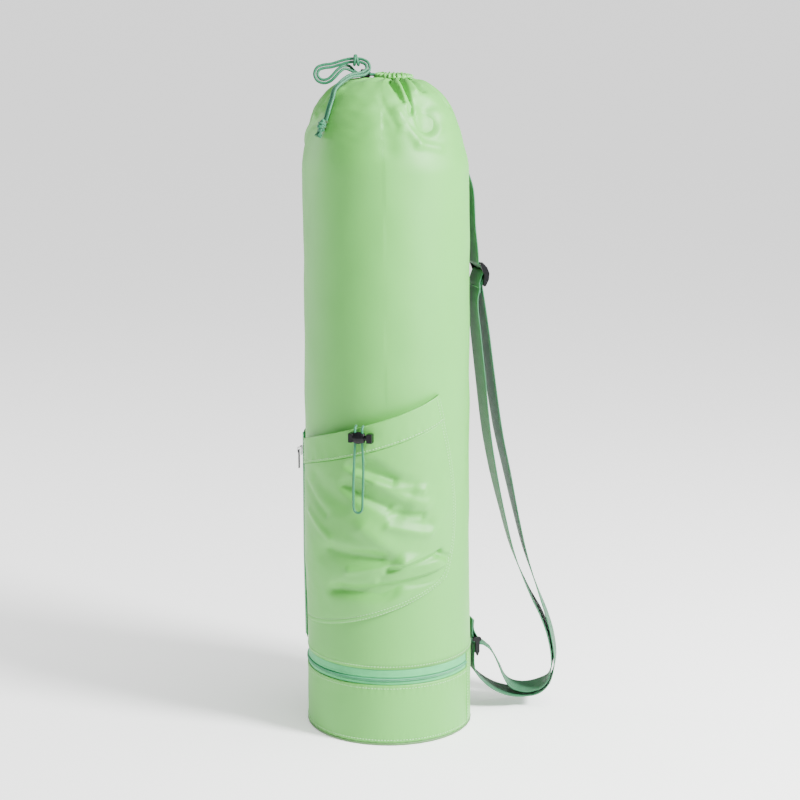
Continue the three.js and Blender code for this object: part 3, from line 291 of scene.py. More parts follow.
def ribs_height(tree, pitch, direction):
    """The heights of a weave's ribs, pitch metres apart."""
    scale = 2 * math.pi / (pitch * WAVE_PACE)
    return texture(
        tree, "ShaderNodeTexWave", "UV", Scale=scale, Distortion=0.0, bands_direction=direction,
    )


def bump(tree, principled, heights, distance, strength):
    total = heights[0]
    for other in heights[1:]:
        add = node(tree, "ShaderNodeMath", operation="ADD")
        tree.links.new(total, add.inputs[0])
        tree.links.new(other, add.inputs[1])
        total = add.outputs[0]
    made = node(tree, "ShaderNodeBump", Distance=distance, Strength=strength)
    tree.links.new(total, made.inputs["Height"])
    tree.links.new(made.outputs["Normal"], principled.inputs["Normal"])


def make_material(name, color, rough, patches, drift, ribs=(), grain=0, relief=0.0, strength=1.0, **more):
    """A surface whose colour drifts in patches, with a fine relief of ribs (pitch, direction) and grain."""
    material, tree, principled = shader(name, color, rough, **more)
    tinted(tree, principled, color, patches, drift)
    heights = [ribs_height(tree, pitch, direction) for pitch, direction in ribs]
    if grain:
        heights.append(texture(tree, "ShaderNodeTexNoise", "Object", Scale=grain, Detail=3.0))
        bump(tree, principled, heights, relief, strength)
    return material


NYLON = make_material(
    "nylon", (0.095, 0.40, 0.06), 0.48, 9, 0.045, [(0.0009, "X"), (0.0009, "Y")], 160, 0.00006, 0.6,
    sheen=0.03,
)
ZIP = make_material(
    "zip_tape", (0.035, 0.40, 0.13), 0.62, 60, 0.12, [(0.0012, "DIAGONAL")], 500, 0.00012, sheen=0.15,
)
TEETH = make_material("zip_teeth", (0.03, 0.26, 0.11), 0.35, 120, 0.1, grain=900, relief=0.00005)
CORD_LOOK = make_material(
    "cord", (0.002, 0.125, 0.05), 0.55, 350, 0.22, grain=2500, relief=0.0001, sheen=0.3,
)
WEBBING = make_material(
    "webbing", (0.012, 0.13, 0.05), 0.6, 120, 0.12, [(0.0016, "X"), (0.0011, "Y")], 700, 0.00022, sheen=0.1,
)
THREAD = make_material("nylon_thread", (0.30, 0.60, 0.26), 0.5, 800, 0.15, sheen=0.2)
WEB_THREAD = make_material("web_thread", (0.22, 0.55, 0.30), 0.5, 800, 0.15, sheen=0.2)
PLASTIC = make_material("black_plastic", (0.003, 0.003, 0.004), 0.3, 200, 0.25, grain=1500, relief=0.00003)
PLASTIC.node_tree.nodes["Principled BSDF"].inputs["Specular IOR Level"].default_value = 0.2
STEEL = make_material("steel", (0.62, 0.63, 0.62), 0.3, 300, 0.08, grain=900, relief=0.00003, metal=1.0)
# The piping's colour is darker than the wall's nylon: painted shade for the thin dark line along the bag's
# bottom edge.
PIPING_PAINTED_SHADE = make_material("piping", (0.08, 0.2, 0.06), 0.55, 40, 0.1, grain=300, relief=0.0001, sheen=0.2)


# Shape of the body, as in the solids, with finer folds added

# At shares of the way up the dome: its lean as a share of the neck's pull, and its swell in mm
DOME_LEAN = [(0, 0), (0.2, -0.14), (0.5, -0.26), (0.65, -0.32), (0.82, -0.25), (0.92, 0.05), (1, 1)]
DOME_SWELL = [(0, 0), (0.18, -2), (0.32, -1.4), (0.5, 2), (0.65, 4.2), (0.8, 4.8), (0.9, 2.6), (1, 0)]
FOLD_DEPTH = 7
# Folds of the dome: from bearing and share, to bearing and share, width, share of the fold depth
DOME_FOLDS = [
    (40, 0.52, 36, 0.34, 14, -1),
    (17, 0.36, 26, 0.21, 5, 0.26),
    (26, 0.21, 44, 0.17, 5, 0.26),
    (52, 0.92, 49, 0.7, 5.5, -0.75),
    (8, 0.98, 19, 0.58, 3.2, -0.6),
    (31, 0.95, 25, 0.47, 3.2, -0.8),
    (21, 0.93, 22, 0.55, 3, 0.32),
    (40, 0.93, 37, 0.68, 4, 0.4),
    (1, 0.5, 4, 0.18, 11, -0.3),
    (12, 0.5, 14, 0.32, 5, 0.2),
    (-50, 0.68, -66, 0.42, 5, 0.3),
    (-66, 0.42, -92, 0.2, 4, 0.25),
    (-68, 0.66, -78, 0.46, 9, -0.25),
    (-88, 0.97, -86, 0.84, 9, -0.5),
]
for k in range(11):
    bearing = 78 + k * 21 + 5 * math.sin(3 * k)
    DOME_FOLDS.append((
        bearing, 0.97, bearing + 6 * math.sin(2 * k), 0.5 + 0.14 * math.sin(5 * k), 4.5,
        -0.38 - 0.14 * math.cos(4 * k),
    ))


def wall_radius(height):
    return mix(BASE_RADIUS, SHOULDER_RADIUS, np.minimum(np.asarray(height, float) / SHOULDER_HEIGHT, 1))


def outline_at(level):
    level = np.asarray(level, float)
    dome = np.clip(level - 1, 0, 1)
    angle = DOME_END * dome
    power = 2 / ROUNDNESS
    wall_height = mix(ZIP_TOP, SHOULDER_HEIGHT, np.minimum(level, 1))
    outward = np.cos(angle) ** (2 - power) / SHOULDER_RADIUS
    upward = np.where(dome > 0, np.sin(angle) ** (2 - power), 0) / DOME_RISE
    length = np.hypot(outward, upward)
    on_dome = dome > 0
    radius = np.where(on_dome, SHOULDER_RADIUS * np.cos(angle) ** power, wall_radius(wall_height))
    height = np.where(on_dome, SHOULDER_HEIGHT + DOME_RISE * np.sin(angle) ** power, wall_height)
    return radius, height, outward / length, upward / length, dome


def nearest_turn(degrees):
    return (degrees + 180) % 360 - 180


def crease(x, y, along_x, along_y, width):
    share = np.clip((x * along_x + y * along_y) / (along_x ** 2 + along_y ** 2), 0, 1)
    away = np.hypot(x - share * along_x, y - share * along_y) / width
    return np.exp(-away * away)


def creases(rows, place_x, place_y, unit_x, unit_y):
    """The sum of the folds in rows at a place, whose units are unit_x and unit_y mm long."""
    total = 0
    for from_x, from_y, to_x, to_y, width, depth in rows:
        x, y = nearest_turn(place_x - from_x) * unit_x, (place_y - from_y) * unit_y
        total = total + depth * crease(x, y, (to_x - from_x) * unit_x, (to_y - from_y) * unit_y, width)
    return total


def dome_creases(rows, radius, dome, bearing):
    return creases(rows, bearing, dome, math.radians(1) * radius, DOME_ARC)


def fold_at(radius, dome, bearing):
    gathers = 1.1 * smooth(0.7, 1, dome) * np.cos(np.radians(14 * bearing))
    depth = gathers + FOLD_DEPTH * dome_creases(DOME_FOLDS, radius, dome, bearing)
    return depth * smooth(0, 0.12, dome) + column(DOME_SWELL, dome)


def body_point(level, bearing, offset, extra=0.0):
    radius, height, outward, upward, dome = outline_at(level)
    depth = offset + fold_at(radius, dome, bearing) + extra
    point = on_bag(radius + outward * depth, bearing, height + upward * depth)
    point[..., 0] += NECK_PULL * column(DOME_LEAN, dome)
    return point


# Sharper creases that only show: the same columns as the folds, with depth in mm
SHARP_FOLDS = [
    (7, 0.98, 17, 0.62, 1.9, -1.5),
    (12.5, 0.97, 20, 0.7, 1.5, 1.1),
    (29, 0.98, 24.5, 0.5, 1.7, -2.4),
    (35, 0.96, 29, 0.6, 2, 1.6),
    (46, 0.95, 48, 0.74, 3, -1.6),
    (60, 0.95, 57, 0.76, 2.2, 0.9),
    (-10, 0.97, -14, 0.84, 1.6, -0.9),
    (-30, 0.975, -30, 0.94, 1.1, -2.6),
    (-52, 0.97, -57, 0.86, 2, -0.8),
    (14, 0.46, 27, 0.24, 3.4, 1),
    (-2, 0.62, 10, 0.36, 3.2, -0.7),
]


def dent(radius, dome, bearing):
    """The round hollow to the right of the pleats, with its rim."""
    x = nearest_turn(bearing - 38) * math.radians(1) * radius
    y = (dome - 0.42) * DOME_ARC
    away = np.hypot(x / 17, y / 20)
    tilt = 1 - 0.55 * x / 17 - 0.85 * y / 20
    rim = np.exp(-((away - 1.2) / 0.2) ** 2) * smooth(0.2, -0.6, y / 20 + 0.3 * x / 17)
    return -5 * (1 - smooth(0.1, 1.12, away)) * tilt + 1.1 * rim


def body_detail(level, bearing):
    """Small folds that only show: pleats under the neck, slack in the wall, puckers over the round zip."""
    radius, height, _, _, dome = outline_at(level)
    around = np.radians(bearing) * SKIN_RADIUS
    gathered = 0.3 + 0.7 * smooth(0, 12, bearing) * (1 - smooth(60, 80, bearing))
    gathered = gathered + 0.5 * smooth(70, 100, np.abs(nearest_turn(bearing)))
    phase = np.radians(bearing * 14 + 12 * np.sin(np.radians(3 * bearing)))
    pleats = 0.9 * (1 - 2 * np.abs(np.sin(phase))) * smooth(0.72, 0.98, dome) * np.clip(gathered, 0, 1)
    folds = dent(radius, dome, bearing) + dome_creases(SHARP_FOLDS, radius, dome, bearing)
    folds = folds * smooth(0.05, 0.2, dome)
    slack = 0.45 * field(around, height, 60, 3) * smooth(0.05, 0.3, np.minimum(level, 1))
    wrinkles = 0.3 * field(around, height, 16, 5, lean=math.pi / 2, spread=0.9) * smooth(0.0, 0.5, dome)
    pucker = 0.28 * np.cos(around * 2 * math.pi / 7 + 2 * field(around, height, 40, 9))
    near_zip = (1 - smooth(ZIP_TOP, ZIP_TOP + 16, height)) * smooth(ZIP_TOP, ZIP_TOP + 3, height)
    return -0.4 + pleats + folds + slack + wrinkles + pucker * near_zip


def body_cloth():
    cols, inner_cols = 300, 100
    bearings = np.arange(cols) * 360 / cols
    inner_bearings = np.arange(inner_cols) * 360 / inner_cols
    levels = np.concatenate([np.linspace(0, 1, 64, endpoint=False), np.linspace(1, 2, 110)])
    inner_levels = np.concatenate([np.linspace(0.004, 1, 14, endpoint=False), np.linspace(1, 2, 20)])
    detail = body_detail(levels[:, None], bearings[None, :])
    outer = body_point(levels[:, None], bearings[None, :], 0.0, detail)
    inner = body_point(inner_levels[:, None], inner_bearings[None, :], -CLOTH - 0.4)
    start = len(levels) * cols
    faces = grid_faces(len(levels), cols, True)
    faces += grid_faces(len(inner_levels), inner_cols, True, start, flip=True)
    top_outer = start - cols
    top_inner = start + (len(inner_levels) - 1) * inner_cols
    step = cols // inner_cols
    for c in range(inner_cols):
        run = [top_outer + (c * step + n) % cols for n in range(step + 1)]
        faces.append(tuple(run + [top_inner + (c + 1) % inner_cols, top_inner + c]))
    faces.append(tuple(range(cols))[::-1])
    faces.append(tuple(range(start, start + inner_cols)))
    verts = np.concatenate([outer.reshape(-1, 3), inner.reshape(-1, 3)])
    obj = new_object("body_cloth", verts, faces, NYLON)
    with_uv(obj, np.concatenate([
        uv_grid(bearings * PER_DEGREE * 0.001, outer[..., 2] * 0.001),
        uv_grid(inner_bearings * PER_DEGREE * 0.001, inner[..., 2] * 0.001),
    ]))
    return finish_piece(obj, "nylon", "body_shell")


body_cloth()


# Cords and webbing: the routes are those of the solids

def run_lengths(places):
    return np.concatenate([[0], np.cumsum(np.linalg.norm(np.diff(places, axis=0), axis=1))])


class Curve:
    """A smooth curve through points, the same one as the solids follow."""

    def __init__(self, points):
        self.points = np.asarray(points, float)

    def at(self, t):
        count = len(self.points)
        place = (count - 1) * t
        k = min(int(math.floor(place)), count - 2)
        share = place - k
        p = self.points
        p1, p2 = p[k], p[k + 1]
        p0 = p[k - 1] if k > 0 else 2 * p[0] - p[1]
        p3 = p[k + 2] if k + 2 < count else 2 * p[-1] - p[-2]
        pairs = ((p0, p1), (p1, p2), (p2, p3))
        d0, d1, d2 = (max(float(np.sum((b - a) ** 2)) ** 0.25, 1e-4) for a, b in pairs)
        t1 = ((p1 - p0) / d0 - (p2 - p0) / (d0 + d1) + (p2 - p1) / d1) * d1
        t2 = ((p2 - p1) / d1 - (p3 - p1) / (d1 + d2) + (p3 - p2) / d2) * d1
        c2 = -3 * p1 + 3 * p2 - 2 * t1 - t2
        c3 = 2 * p1 - 2 * p2 + t1 + t2
        return p1 + t1 * share + c2 * share ** 2 + c3 * share ** 3

    def tangent(self, t):
        step = 1e-4
        low, high = max(t - step, 0), min(t + step, 1)
        way = self.at(high) - self.at(low)
        return way / np.linalg.norm(way)

    def spaced(self, gap):
        dense = np.array([self.at(t) for t in np.linspace(0, 1, len(self.points) * 24)])
        runs = run_lengths(dense)
        count = max(int(runs[-1] / gap), 8)
        marks = np.linspace(0, runs[-1], count)
        return np.stack([np.interp(marks, runs, dense[:, i]) for i in range(3)], -1), runs[-1]


def tube(name, path, radius, pitch, sides=14, braid=0.05):
    """A closed tube of cord along a path, with the ridges of its braid."""
    path = np.asarray(path, float)
    ways = np.gradient(path, axis=0)
    ways /= np.linalg.norm(ways, axis=1)[:, None]
    up = np.cross(ways[0], [0.31, 0.2, 0.93])
    up /= np.linalg.norm(up)
    run = 0.0
    rings = []
    for k, (point, way) in enumerate(zip(path, ways)):
        up = up - way * np.dot(up, way)
        up /= np.linalg.norm(up)
        side = np.cross(way, up)
        if k:
            run += np.linalg.norm(path[k] - path[k - 1])
        angle = np.arange(sides) * 2 * math.pi / sides
        phase = 2 * math.pi * run / pitch
        ridge = np.cos(2 * angle + phase) * np.cos(2 * angle - phase)
        size = radius * (1 - braid + 2 * braid * np.abs(ridge))
        rings.append(point + size[:, None] * (np.cos(angle)[:, None] * up + np.sin(angle)[:, None] * side))
    return new_object(name, np.concatenate(rings), tube_faces(len(rings), sides), CORD_LOOK)


# The bow's route from the neck's centre
BOW = [
    (-22.4, 2, 3.3), (-24.6, 2, 3.4), (-31.5, 2, 4), (-38.8, 2, 4.6), (-43.5, 0.4, 6.8), (-48.5, -2.6, 10.4),
    (-54, -5.5, 11.6), (-60.5, -8, 7.6), (-65.7, -9.4, 2), (-71, -10.2, -2.4), (-77.4, -10.4, -3.8),
    (-83, -9.6, -1.5), (-85.4, -8.6, 4.2), (-83, -7.6, 9.9), (-77.4, -6.8, 12.2), (-67.5, -6, 13.6),
    (-57, -6, 16.8), (-49.5, -6, 18.6), (-41.5, -6, 19), (-35, -6.2, 18.4), (-29.4, -8.2, 15.4),
    (-28, -11, 9.8), (-32, -15, 5.6), (-39, -20, 4), (-48.5, -26.5, 2),
]
# Half the spacing of its two cords in mm, and the lean of their plane in degrees, at each place
BOW_SPREADS = [4.1] * 4 + [3.4, 2.1] + [1.8] * 19
BOW_LEANS = [0] * 4 + [20, 60] + [90] * 16 + [75, 55, 40]
# The place on the route that the bow's knot sits on
BOW_KNOT = 18
# Bearings and shares of the dome down which both tails run
TAIL = [(-53, 0.66), (-50, 0.57), (-48.5, 0.49), (-48, 0.43), (-48.8, 0.38)]
TAIL_SPREAD = 1.8
# The elastic's route from the lock's centre: across, outward, down
ELASTIC_ROUTE = [
    (-4.1, -4.9, -12.3), (-4.1, -3.02, -11.93), (-4.1, -1.43, -10.86), (-4.1, -0.37, -9.27),
    (-4.1, 0, -7.4),
    (-4.1, 0, 0), (-4.1, 0, 8), (-4.7, 0.4, 20), (-5.5, 0.9, 40), (-5.8, 1.4, 58), (-5.6, 1.7, 70),
    (-5.3, 1.9, 79), (-3.8, 2, 82.6), (-0.4, 2, 84.1), (3, 2, 82.6), (4.5, 1.9, 79), (4.8, 1.7, 70),
    (5.2, 1.4, 58), (5.5, 0.9, 40), (5, 0.4, 20), (4.1, 0, 8), (4.1, 0, 0), (4.1, 0, -7.4),
    (4.1, -0.37, -9.27),
    (4.1, -1.43, -10.86), (4.1, -3.02, -11.93), (4.1, -4.9, -12.3),
]


def drawcord_points(side):
    """The route of one of the drawcord's two ends, beside the middle route of both."""
    places, facings, spreads = [], [], []
    for place, spread, lean in zip(BOW, BOW_SPREADS, BOW_LEANS):
        places.append(NECK + place)
        facings.append(np.array([0, -math.sin(math.radians(lean)), math.cos(math.radians(lean))]))
        spreads.append(spread)
    places.insert(0, NECK + [-20.2, 2, 2.8])
    facings.insert(0, facings[0])
    spreads.insert(0, spreads[0])
    for bearing, dome in TAIL:
        place = body_point(1 + dome, bearing, CORD / 2 + GAP)
        over = body_point(1 + dome, bearing, CORD + GAP)
        places.append(place)
        facings.append((over - place) / np.linalg.norm(over - place))
        spreads.append(TAIL_SPREAD)
    middle = Curve(places)
    points = []
    for k, place in enumerate(places):
        offset = np.cross(middle.tangent(k / (len(places) - 1)), facings[k])
        points.append(place + offset / np.linalg.norm(offset) * side * spreads[k])
    return points


def add_cord(name, points, diameter, nodes):
    path, length = Curve(points).spaced(0.55)
    obj = tube(name, path, diameter / 2, diameter * 1.5)
    finish_piece(obj, "cord", *nodes)
    return obj


def elastic_points():
    turn = math.radians(LOCK_BEARING)
    centre = on_bag(LOCK_RADIUS, LOCK_BEARING, LOCK_HEIGHT)
    points = []
    for across, out, down in ELASTIC_ROUTE:
        x = across * math.cos(turn) + out * math.sin(turn)
        y = across * math.sin(turn) - out * math.cos(turn)
        points.append(centre + np.array([x, y, -down]))
    return points


# Pocket

POCKET_LEFT, POCKET_RIGHT, POCKET_INSET, POCKET_BULGE = -74, 43, 6.3, 12
POCKET_BOTTOM, POCKET_BOTTOM_RISE, POCKET_MOUTH, POCKET_MOUTH_RISE = 130, 60, 342, 61
POCKET_DEPTH, POCKET_MOUTH_DEPTH, HEM_HEIGHT, HEM_THICK = 13, 9.5, 29, 2.6
POCKET_FOLD_DEPTH = 5
# Folds: from shares across and up, to shares across and up, width, share of the fold depth
POCKET_FOLDS = [
    (0.5, 0.84, 0.72, 0.63, 8, -0.75),
    (0.56, 0.7, 0.78, 0.52, 7, 0.45),
    (0.46, 0.74, 0.66, 0.54, 9, -0.7),
    (0.64, 0.5, 0.78, 0.42, 8, -0.4),
    (0.48, 0.5, 0.68, 0.26, 9, 0.6),
    (0.26, 0.4, 0.6, 0.3, 10, -0.45),
    (0.56, 0.19, 0.92, 0.07, 7, -1),
    (0.66, 0.27, 0.92, 0.15, 8, 0.7),
    (0.35, 0.2, 0.62, 0.12, 9, -0.6),
    (0.2, 0.78, 0.38, 0.64, 10, -0.4),
]
# Sharper small creases that only show: the same columns as the folds
POCKET_CREASES = [
    (0.44, 0.83, 0.64, 0.69, 4.5, -0.5),
    (0.46, 0.77, 0.78, 0.6, 4.5, 0.42),
    (0.4, 0.73, 0.6, 0.57, 5, -0.55),
    (0.62, 0.53, 0.76, 0.47, 4, -0.4),
    (0.6, 0.48, 0.8, 0.36, 5, 0.4),
    (0.3, 0.42, 0.56, 0.33, 6, -0.45),
    (0.4, 0.285, 0.66, 0.27, 4.5, 0.35),
    (0.6, 0.25, 0.86, 0.215, 4, -0.6),
    (0.86, 0.215, 0.965, 0.13, 3, -0.75),
    (0.54, 0.19, 0.9, 0.13, 5, 0.6),
    (0.3, 0.2, 0.58, 0.15, 6, -0.5),
    (0.14, 0.62, 0.3, 0.47, 4, 0.22),
    (0.1, 0.76, 0.28, 0.6, 4.5, -0.22),
]


def pocket_bearing(wide, tall):
    bulge = POCKET_BULGE * np.sin(math.pi * tall ** 0.75)
    return mix(POCKET_LEFT, POCKET_RIGHT - POCKET_INSET * tall + bulge, wide)


def pocket_bottom(wide):
    return POCKET_BOTTOM + POCKET_BOTTOM_RISE * wide ** 1.7


def pocket_mouth(wide):
    return POCKET_MOUTH + POCKET_MOUTH_RISE * (wide - 0.05 * np.sin(math.pi * wide))


def pocket_height(wide, tall):
    return mix(pocket_bottom(wide), pocket_mouth(wide), tall)


def pocket_creases(rows, wide, tall):
    span_wide = math.radians(POCKET_RIGHT - POCKET_LEFT) * BASE_RADIUS
    return POCKET_FOLD_DEPTH * creases(rows, wide, tall, span_wide, POCKET_MOUTH - POCKET_BOTTOM)


def pocket_stand_off(wide, tall, fine=0.0):
    across = (4 * wide * (1 - wide)) ** 0.6
    up = np.minimum(1, tall / 0.4) ** 0.7
    depth = mix(POCKET_DEPTH, POCKET_MOUTH_DEPTH, smooth(0.45, 0.95, tall))
    loose = np.minimum(1, across * 1.6) * smooth(0, 0.1, tall) * (1 - smooth(0.8, 0.87, tall))
    fold = pocket_creases(POCKET_FOLDS, wide, tall) + fine
    return GAP + np.maximum(0, depth * across * up + fold * loose)


def pocket_place(wide, tall, offset, fine=0.0):
    height = pocket_height(wide, tall)
    radius = wall_radius(height) + pocket_stand_off(wide, tall, fine) + offset
    return on_bag(radius, pocket_bearing(wide, tall), height)


def hem_share(wide, extra):
    return 1 - (HEM_HEIGHT + extra) / (pocket_mouth(wide) - pocket_bottom(wide))


def sheet_mesh(name, low, high, thick, cols, rows, material, fine_at):
    """A sheet of the pocket between the shares low and high. fine_at gives small creases and lift."""
    wide = np.linspace(0, 1, cols)[None, :]
    share = np.linspace(0, 1, rows)[:, None]
    tall = mix(low(wide), high(wide), share)
    wide = np.broadcast_to(wide, tall.shape)
    fine, lift = fine_at(wide, tall)
    outer = pocket_place(wide, tall, thick + lift, fine)
    inner = pocket_place(wide, tall, 0.0, fine)
    return two_layers(name, outer, inner, uv_grid(wide * 0.2, pocket_height(wide, tall) * 0.001), material)


def pocket_fine(wide, tall):
    """Small creases in the pocket, and the lift of its sewn border."""
    x = wide * 200
    y = tall * 200
    folds = 1.6 * pocket_creases(POCKET_CREASES, wide, tall)
    folds = folds + 0.35 * pocket_creases(POCKET_FOLDS, wide, tall)
    folds = folds + 0.5 * field(x, y, 34, 21, lean=0.9, spread=0.7) + 0.12 * field(x, y, 12, 22)
    right = 200 - x
    edge = np.exp(-(right / 6) ** 4) + np.exp(-(y / 6) ** 4)
    puckers = 0.2 * np.cos(y * 2 * math.pi / 3.6) * np.exp(-(right / 7) ** 4)
    puckers = puckers + 0.2 * np.cos(x * 2 * math.pi / 3.6) * np.exp(-(y / 7) ** 4)
    grooves = sum(np.exp(-((away - inset) / 0.8) ** 2) for away in (right, y) for inset in (1.6, 6.2))
    return folds, 0.35 * np.minimum(edge, 1) + puckers - 0.8 * grooves - 0.1


def hem_fine(wide, tall):
    x = wide * 200
    y = tall * 200
    near_seam = 1 - smooth(0.86, 0.93, tall)
    return 0.0 * x, 0.22 * field(x, y, 15, 31) - 0.2 + 0.2 * np.cos(x * 2 * math.pi / 9) * near_seam


finish_piece(sheet_mesh(
    "pocket_cloth", lambda wide: 0 * wide, lambda wide: hem_share(wide, GAP), CLOTH, 190, 150, NYLON,
    pocket_fine,
), "nylon", "pocket_panel")
finish_piece(sheet_mesh(
    "pocket_hem_cloth", lambda wide: hem_share(wide, 0), lambda wide: 1 + 0 * wide, HEM_THICK, 190, 24,
    NYLON, hem_fine,
), "nylon", "pocket_hem")


# Strap

# The free strands: shares of the reach and of the slider's height, turn and twist in degrees
INNER_STRAND = [
    (0.04, 0.942, 0, 0), (0.0755, 0.87, 0, 0), (0.127, 0.78, 0, 0), (0.2066, 0.645, 0, -2),
    (0.2915, 0.551, 0, -4), (0.4, 0.458, 0, -8), (0.533, 0.362, 0, -11), (0.731, 0.265, -1, -15),
    (0.854, 0.2155, -2, -18), (0.944, 0.165, -3, -20), (0.979, 0.114, -4, -20), (0.965, 0.084, -4, -20),
    (0.915, 0.06, -4, -20), (0.82, 0.0445, -2, -16), (0.69, 0.0375, 0, -12), (0.56, 0.044, 1, -12),
    (0.475, 0.06, 1, -14), (0.415, 0.083, 1, -15), (0.357, 0.108, 1, -12), (0.295, 0.1305, 0, -8),
    (0.225, 0.1475, 0, -3), (0.13, 0.1605, 0, 0),
]
OUTER_STRAND = [
    (0.03, 0.132, 0, 0), (0.034, 0.113, 0, 0), (0.06, 0.097, 0, -3), (0.118, 0.082, 0, -6),
    (0.216, 0.0625, 0, -8), (0.355, 0.0435, 0, -10), (0.524, 0.031, 0, -12), (0.685, 0.0275, 0, -12),
    (0.825, 0.0345, -2, -16), (0.935, 0.0545, -4, -20), (0.995, 0.083, -4, -20), (1.01, 0.114, -4, -20),
    (0.982, 0.165, -3, -20), (0.918, 0.2145, -2, -18), (0.835, 0.263, -1, -15), (0.675, 0.361, 0, -11),
    (0.555, 0.456, 0, -8), (0.45, 0.55, 0, -4), (0.345, 0.643, 0, -2), (0.235, 0.78, 0, 0),
    (0.173, 0.87, 0, 0), (0.116, 0.942, 0, 0),
]
GLIDE_TILT = 9.3
GLIDE_SPACING = 12.5
GLIDE_ARCH = 3
GLIDE_LENGTH = 28
LAYER = STRAP_THICK + 0.25
ON_GLIDE = 1.2 + 0.25 + STRAP_THICK / 2
ON_BUCKLE = 1.75 + 0.25 + STRAP_THICK / 2
GLIDE_PLACE = (float(wall_radius(GLIDE_HEIGHT)) + 10.9, GLIDE_HEIGHT)
BUCKLE_PLACE = (float(wall_radius(82.5)) + 6.55, 82.5)
TOP_BAR = (-1.2, 9.8, 1.5)


def threaded(stops):
    """Points round bars, each stop (x, y, radius, turn), where a turn of 1 runs anticlockwise."""
    leave = []
    for (x, y, radius, turn), (to_x, to_y, to_radius, to_turn) in zip(stops, stops[1:]):
        lean = math.asin((to_turn * to_radius - turn * radius) / math.hypot(to_x - x, to_y - y))
        leave.append(math.atan2(to_y - y, to_x - x) - lean)
    points = []
    for k, (x, y, radius, turn) in enumerate(stops):
        first = leave[max(k - 1, 0)] - turn * math.pi / 2
        last = leave[min(k, len(leave) - 1)] - turn * math.pi / 2
        sweep = (turn * (last - first)) % (2 * math.pi)
        steps = 0 if radius == 0 or sweep < 0.01 else math.ceil(sweep / math.radians(40))
        for n in range(steps + 1):
            angle = first + turn * sweep * n / max(steps, 1)
            points.append((x + radius * math.cos(angle), y + radius * math.sin(angle)))
    return points


def route_point(radius, height, turn, twist):
    return on_circle(radius, STRAP_BEARING + turn, height), STRAP_BEARING + turn + twist


def at_glide(point):
    tilt = math.radians(GLIDE_TILT)
    radius = GLIDE_PLACE[0] + point[0] * math.sin(tilt) + point[1] * math.cos(tilt)
    return route_point(radius, GLIDE_PLACE[1] - point[0] * math.cos(tilt) + point[1] * math.sin(tilt), 0, 0)


def at_buckle(point):
    return route_point(BUCKLE_PLACE[0] + point[0], BUCKLE_PLACE[1] + point[1], 0, 0)


def free_stretch(rows):
    return [
        route_point(BASE_RADIUS + out * STRAP_REACH, up * GLIDE_HEIGHT, turn, twist)
        for out, up, turn, twist in rows
    ]


def strap_route():
    below = GLIDE_LENGTH * 0.8
    s, g = GLIDE_SPACING, ON_GLIDE
    wrap = threaded([
        (GLIDE_LENGTH * 0.75, -g - 2 * LAYER - 0.2, 0, 1), (s, 0, g + 2 * LAYER, -1),
        (0, GLIDE_ARCH, g, -1), (s, 0, g + LAYER, 1), (below, -g - LAYER - 0.6, 0, 1),
    ])[:-1]
    through = threaded([
        (below, -g + 0.4, 0, 1), (s, 0, g, -1), (0, GLIDE_ARCH, g + LAYER, 1), (-s, 0, g, -1),
        (-below, -g, 0, 1),
    ])[1:-1]
    around = threaded([
        (10, ON_BUCKLE - 0.6, 0, 1), (0, 0, ON_BUCKLE, 1), (-ON_BUCKLE, -10, 0, 1),
    ])[1:-1]
    sewn = []
    for level, turn in [(1, 12), (1.1, 14), (1.2, 15.5), (1.3, 17)]:
        bearing = STRAP_BEARING + turn
        sewn.append((body_point(level, bearing, GAP + STRAP_THICK / 2 + 0.1), bearing))
    route = [at_glide(p) for p in wrap] + free_stretch(INNER_STRAND) + [at_buckle(p) for p in around]
    route += free_stretch(OUTER_STRAND) + [at_glide(p) for p in through]
    route += free_stretch([(0.041, 1.05, 1.5, 0), (0.022, 1.1, 4.5, 0), (0.008, 1.18, 8.5, 0)]) + sewn
    return route


def ribbon_frames(route, gap):
    curve = Curve([place for place, _ in route])
    last = len(route) - 1
    stations = []
    for k in range(last):
        steps = max(1, math.ceil(np.linalg.norm(route[k + 1][0] - route[k][0]) / gap))
        stations += [k + n / steps for n in range(steps)]
    stations.append(last)
    frames = []
    for at in stations:
        k = min(int(at), last - 1)
        bearing = math.radians(mix(route[k][1], route[k + 1][1], at - k))
        along = curve.tangent(at / last)
        across = np.array([math.cos(bearing), math.sin(bearing), 0.0])
        across -= along * np.dot(across, along)
        across /= np.linalg.norm(across)
        frames.append((curve.at(at / last), across, np.cross(across, along)))
    return frames


def ribbon_section(width, thick):
    """Places across and out round a flat section with rounded edges."""
    half = width / 2
    rows = []
    for side in (1, -1):
        rows += [(x, side * (thick / 2 - 0.08)) for x in np.linspace(-half + 1.2, half - 1.2, 9) * side]
        for turn in np.radians((60, 25, -25, -60)):
            rows.append((side * (half - 0.55 + 0.55 * math.cos(turn)), thick / 2 * math.sin(turn * side)))
    return rows


def add_ribbon(name, frames, node_name):
    section = ribbon_section(STRAP_WIDTH, STRAP_THICK)
    verts, uv = [], []
    run = 0.0
    for k, (place, across, out) in enumerate(frames):
        if k:
            run += np.linalg.norm(place - frames[k - 1][0])
        for x, y in section:
            verts.append(place + across * x + out * y)
            uv.append((x * 0.001, run * 0.001))
    obj = new_object(name, verts, tube_faces(len(frames), len(section)), WEBBING)
    with_uv(obj, uv)
    finish_piece(obj, "webbing", node_name)


STRAP_FRAMES = ribbon_frames(strap_route(), 3.0)
add_ribbon("strap_ribbon", STRAP_FRAMES, "strap_webbing")


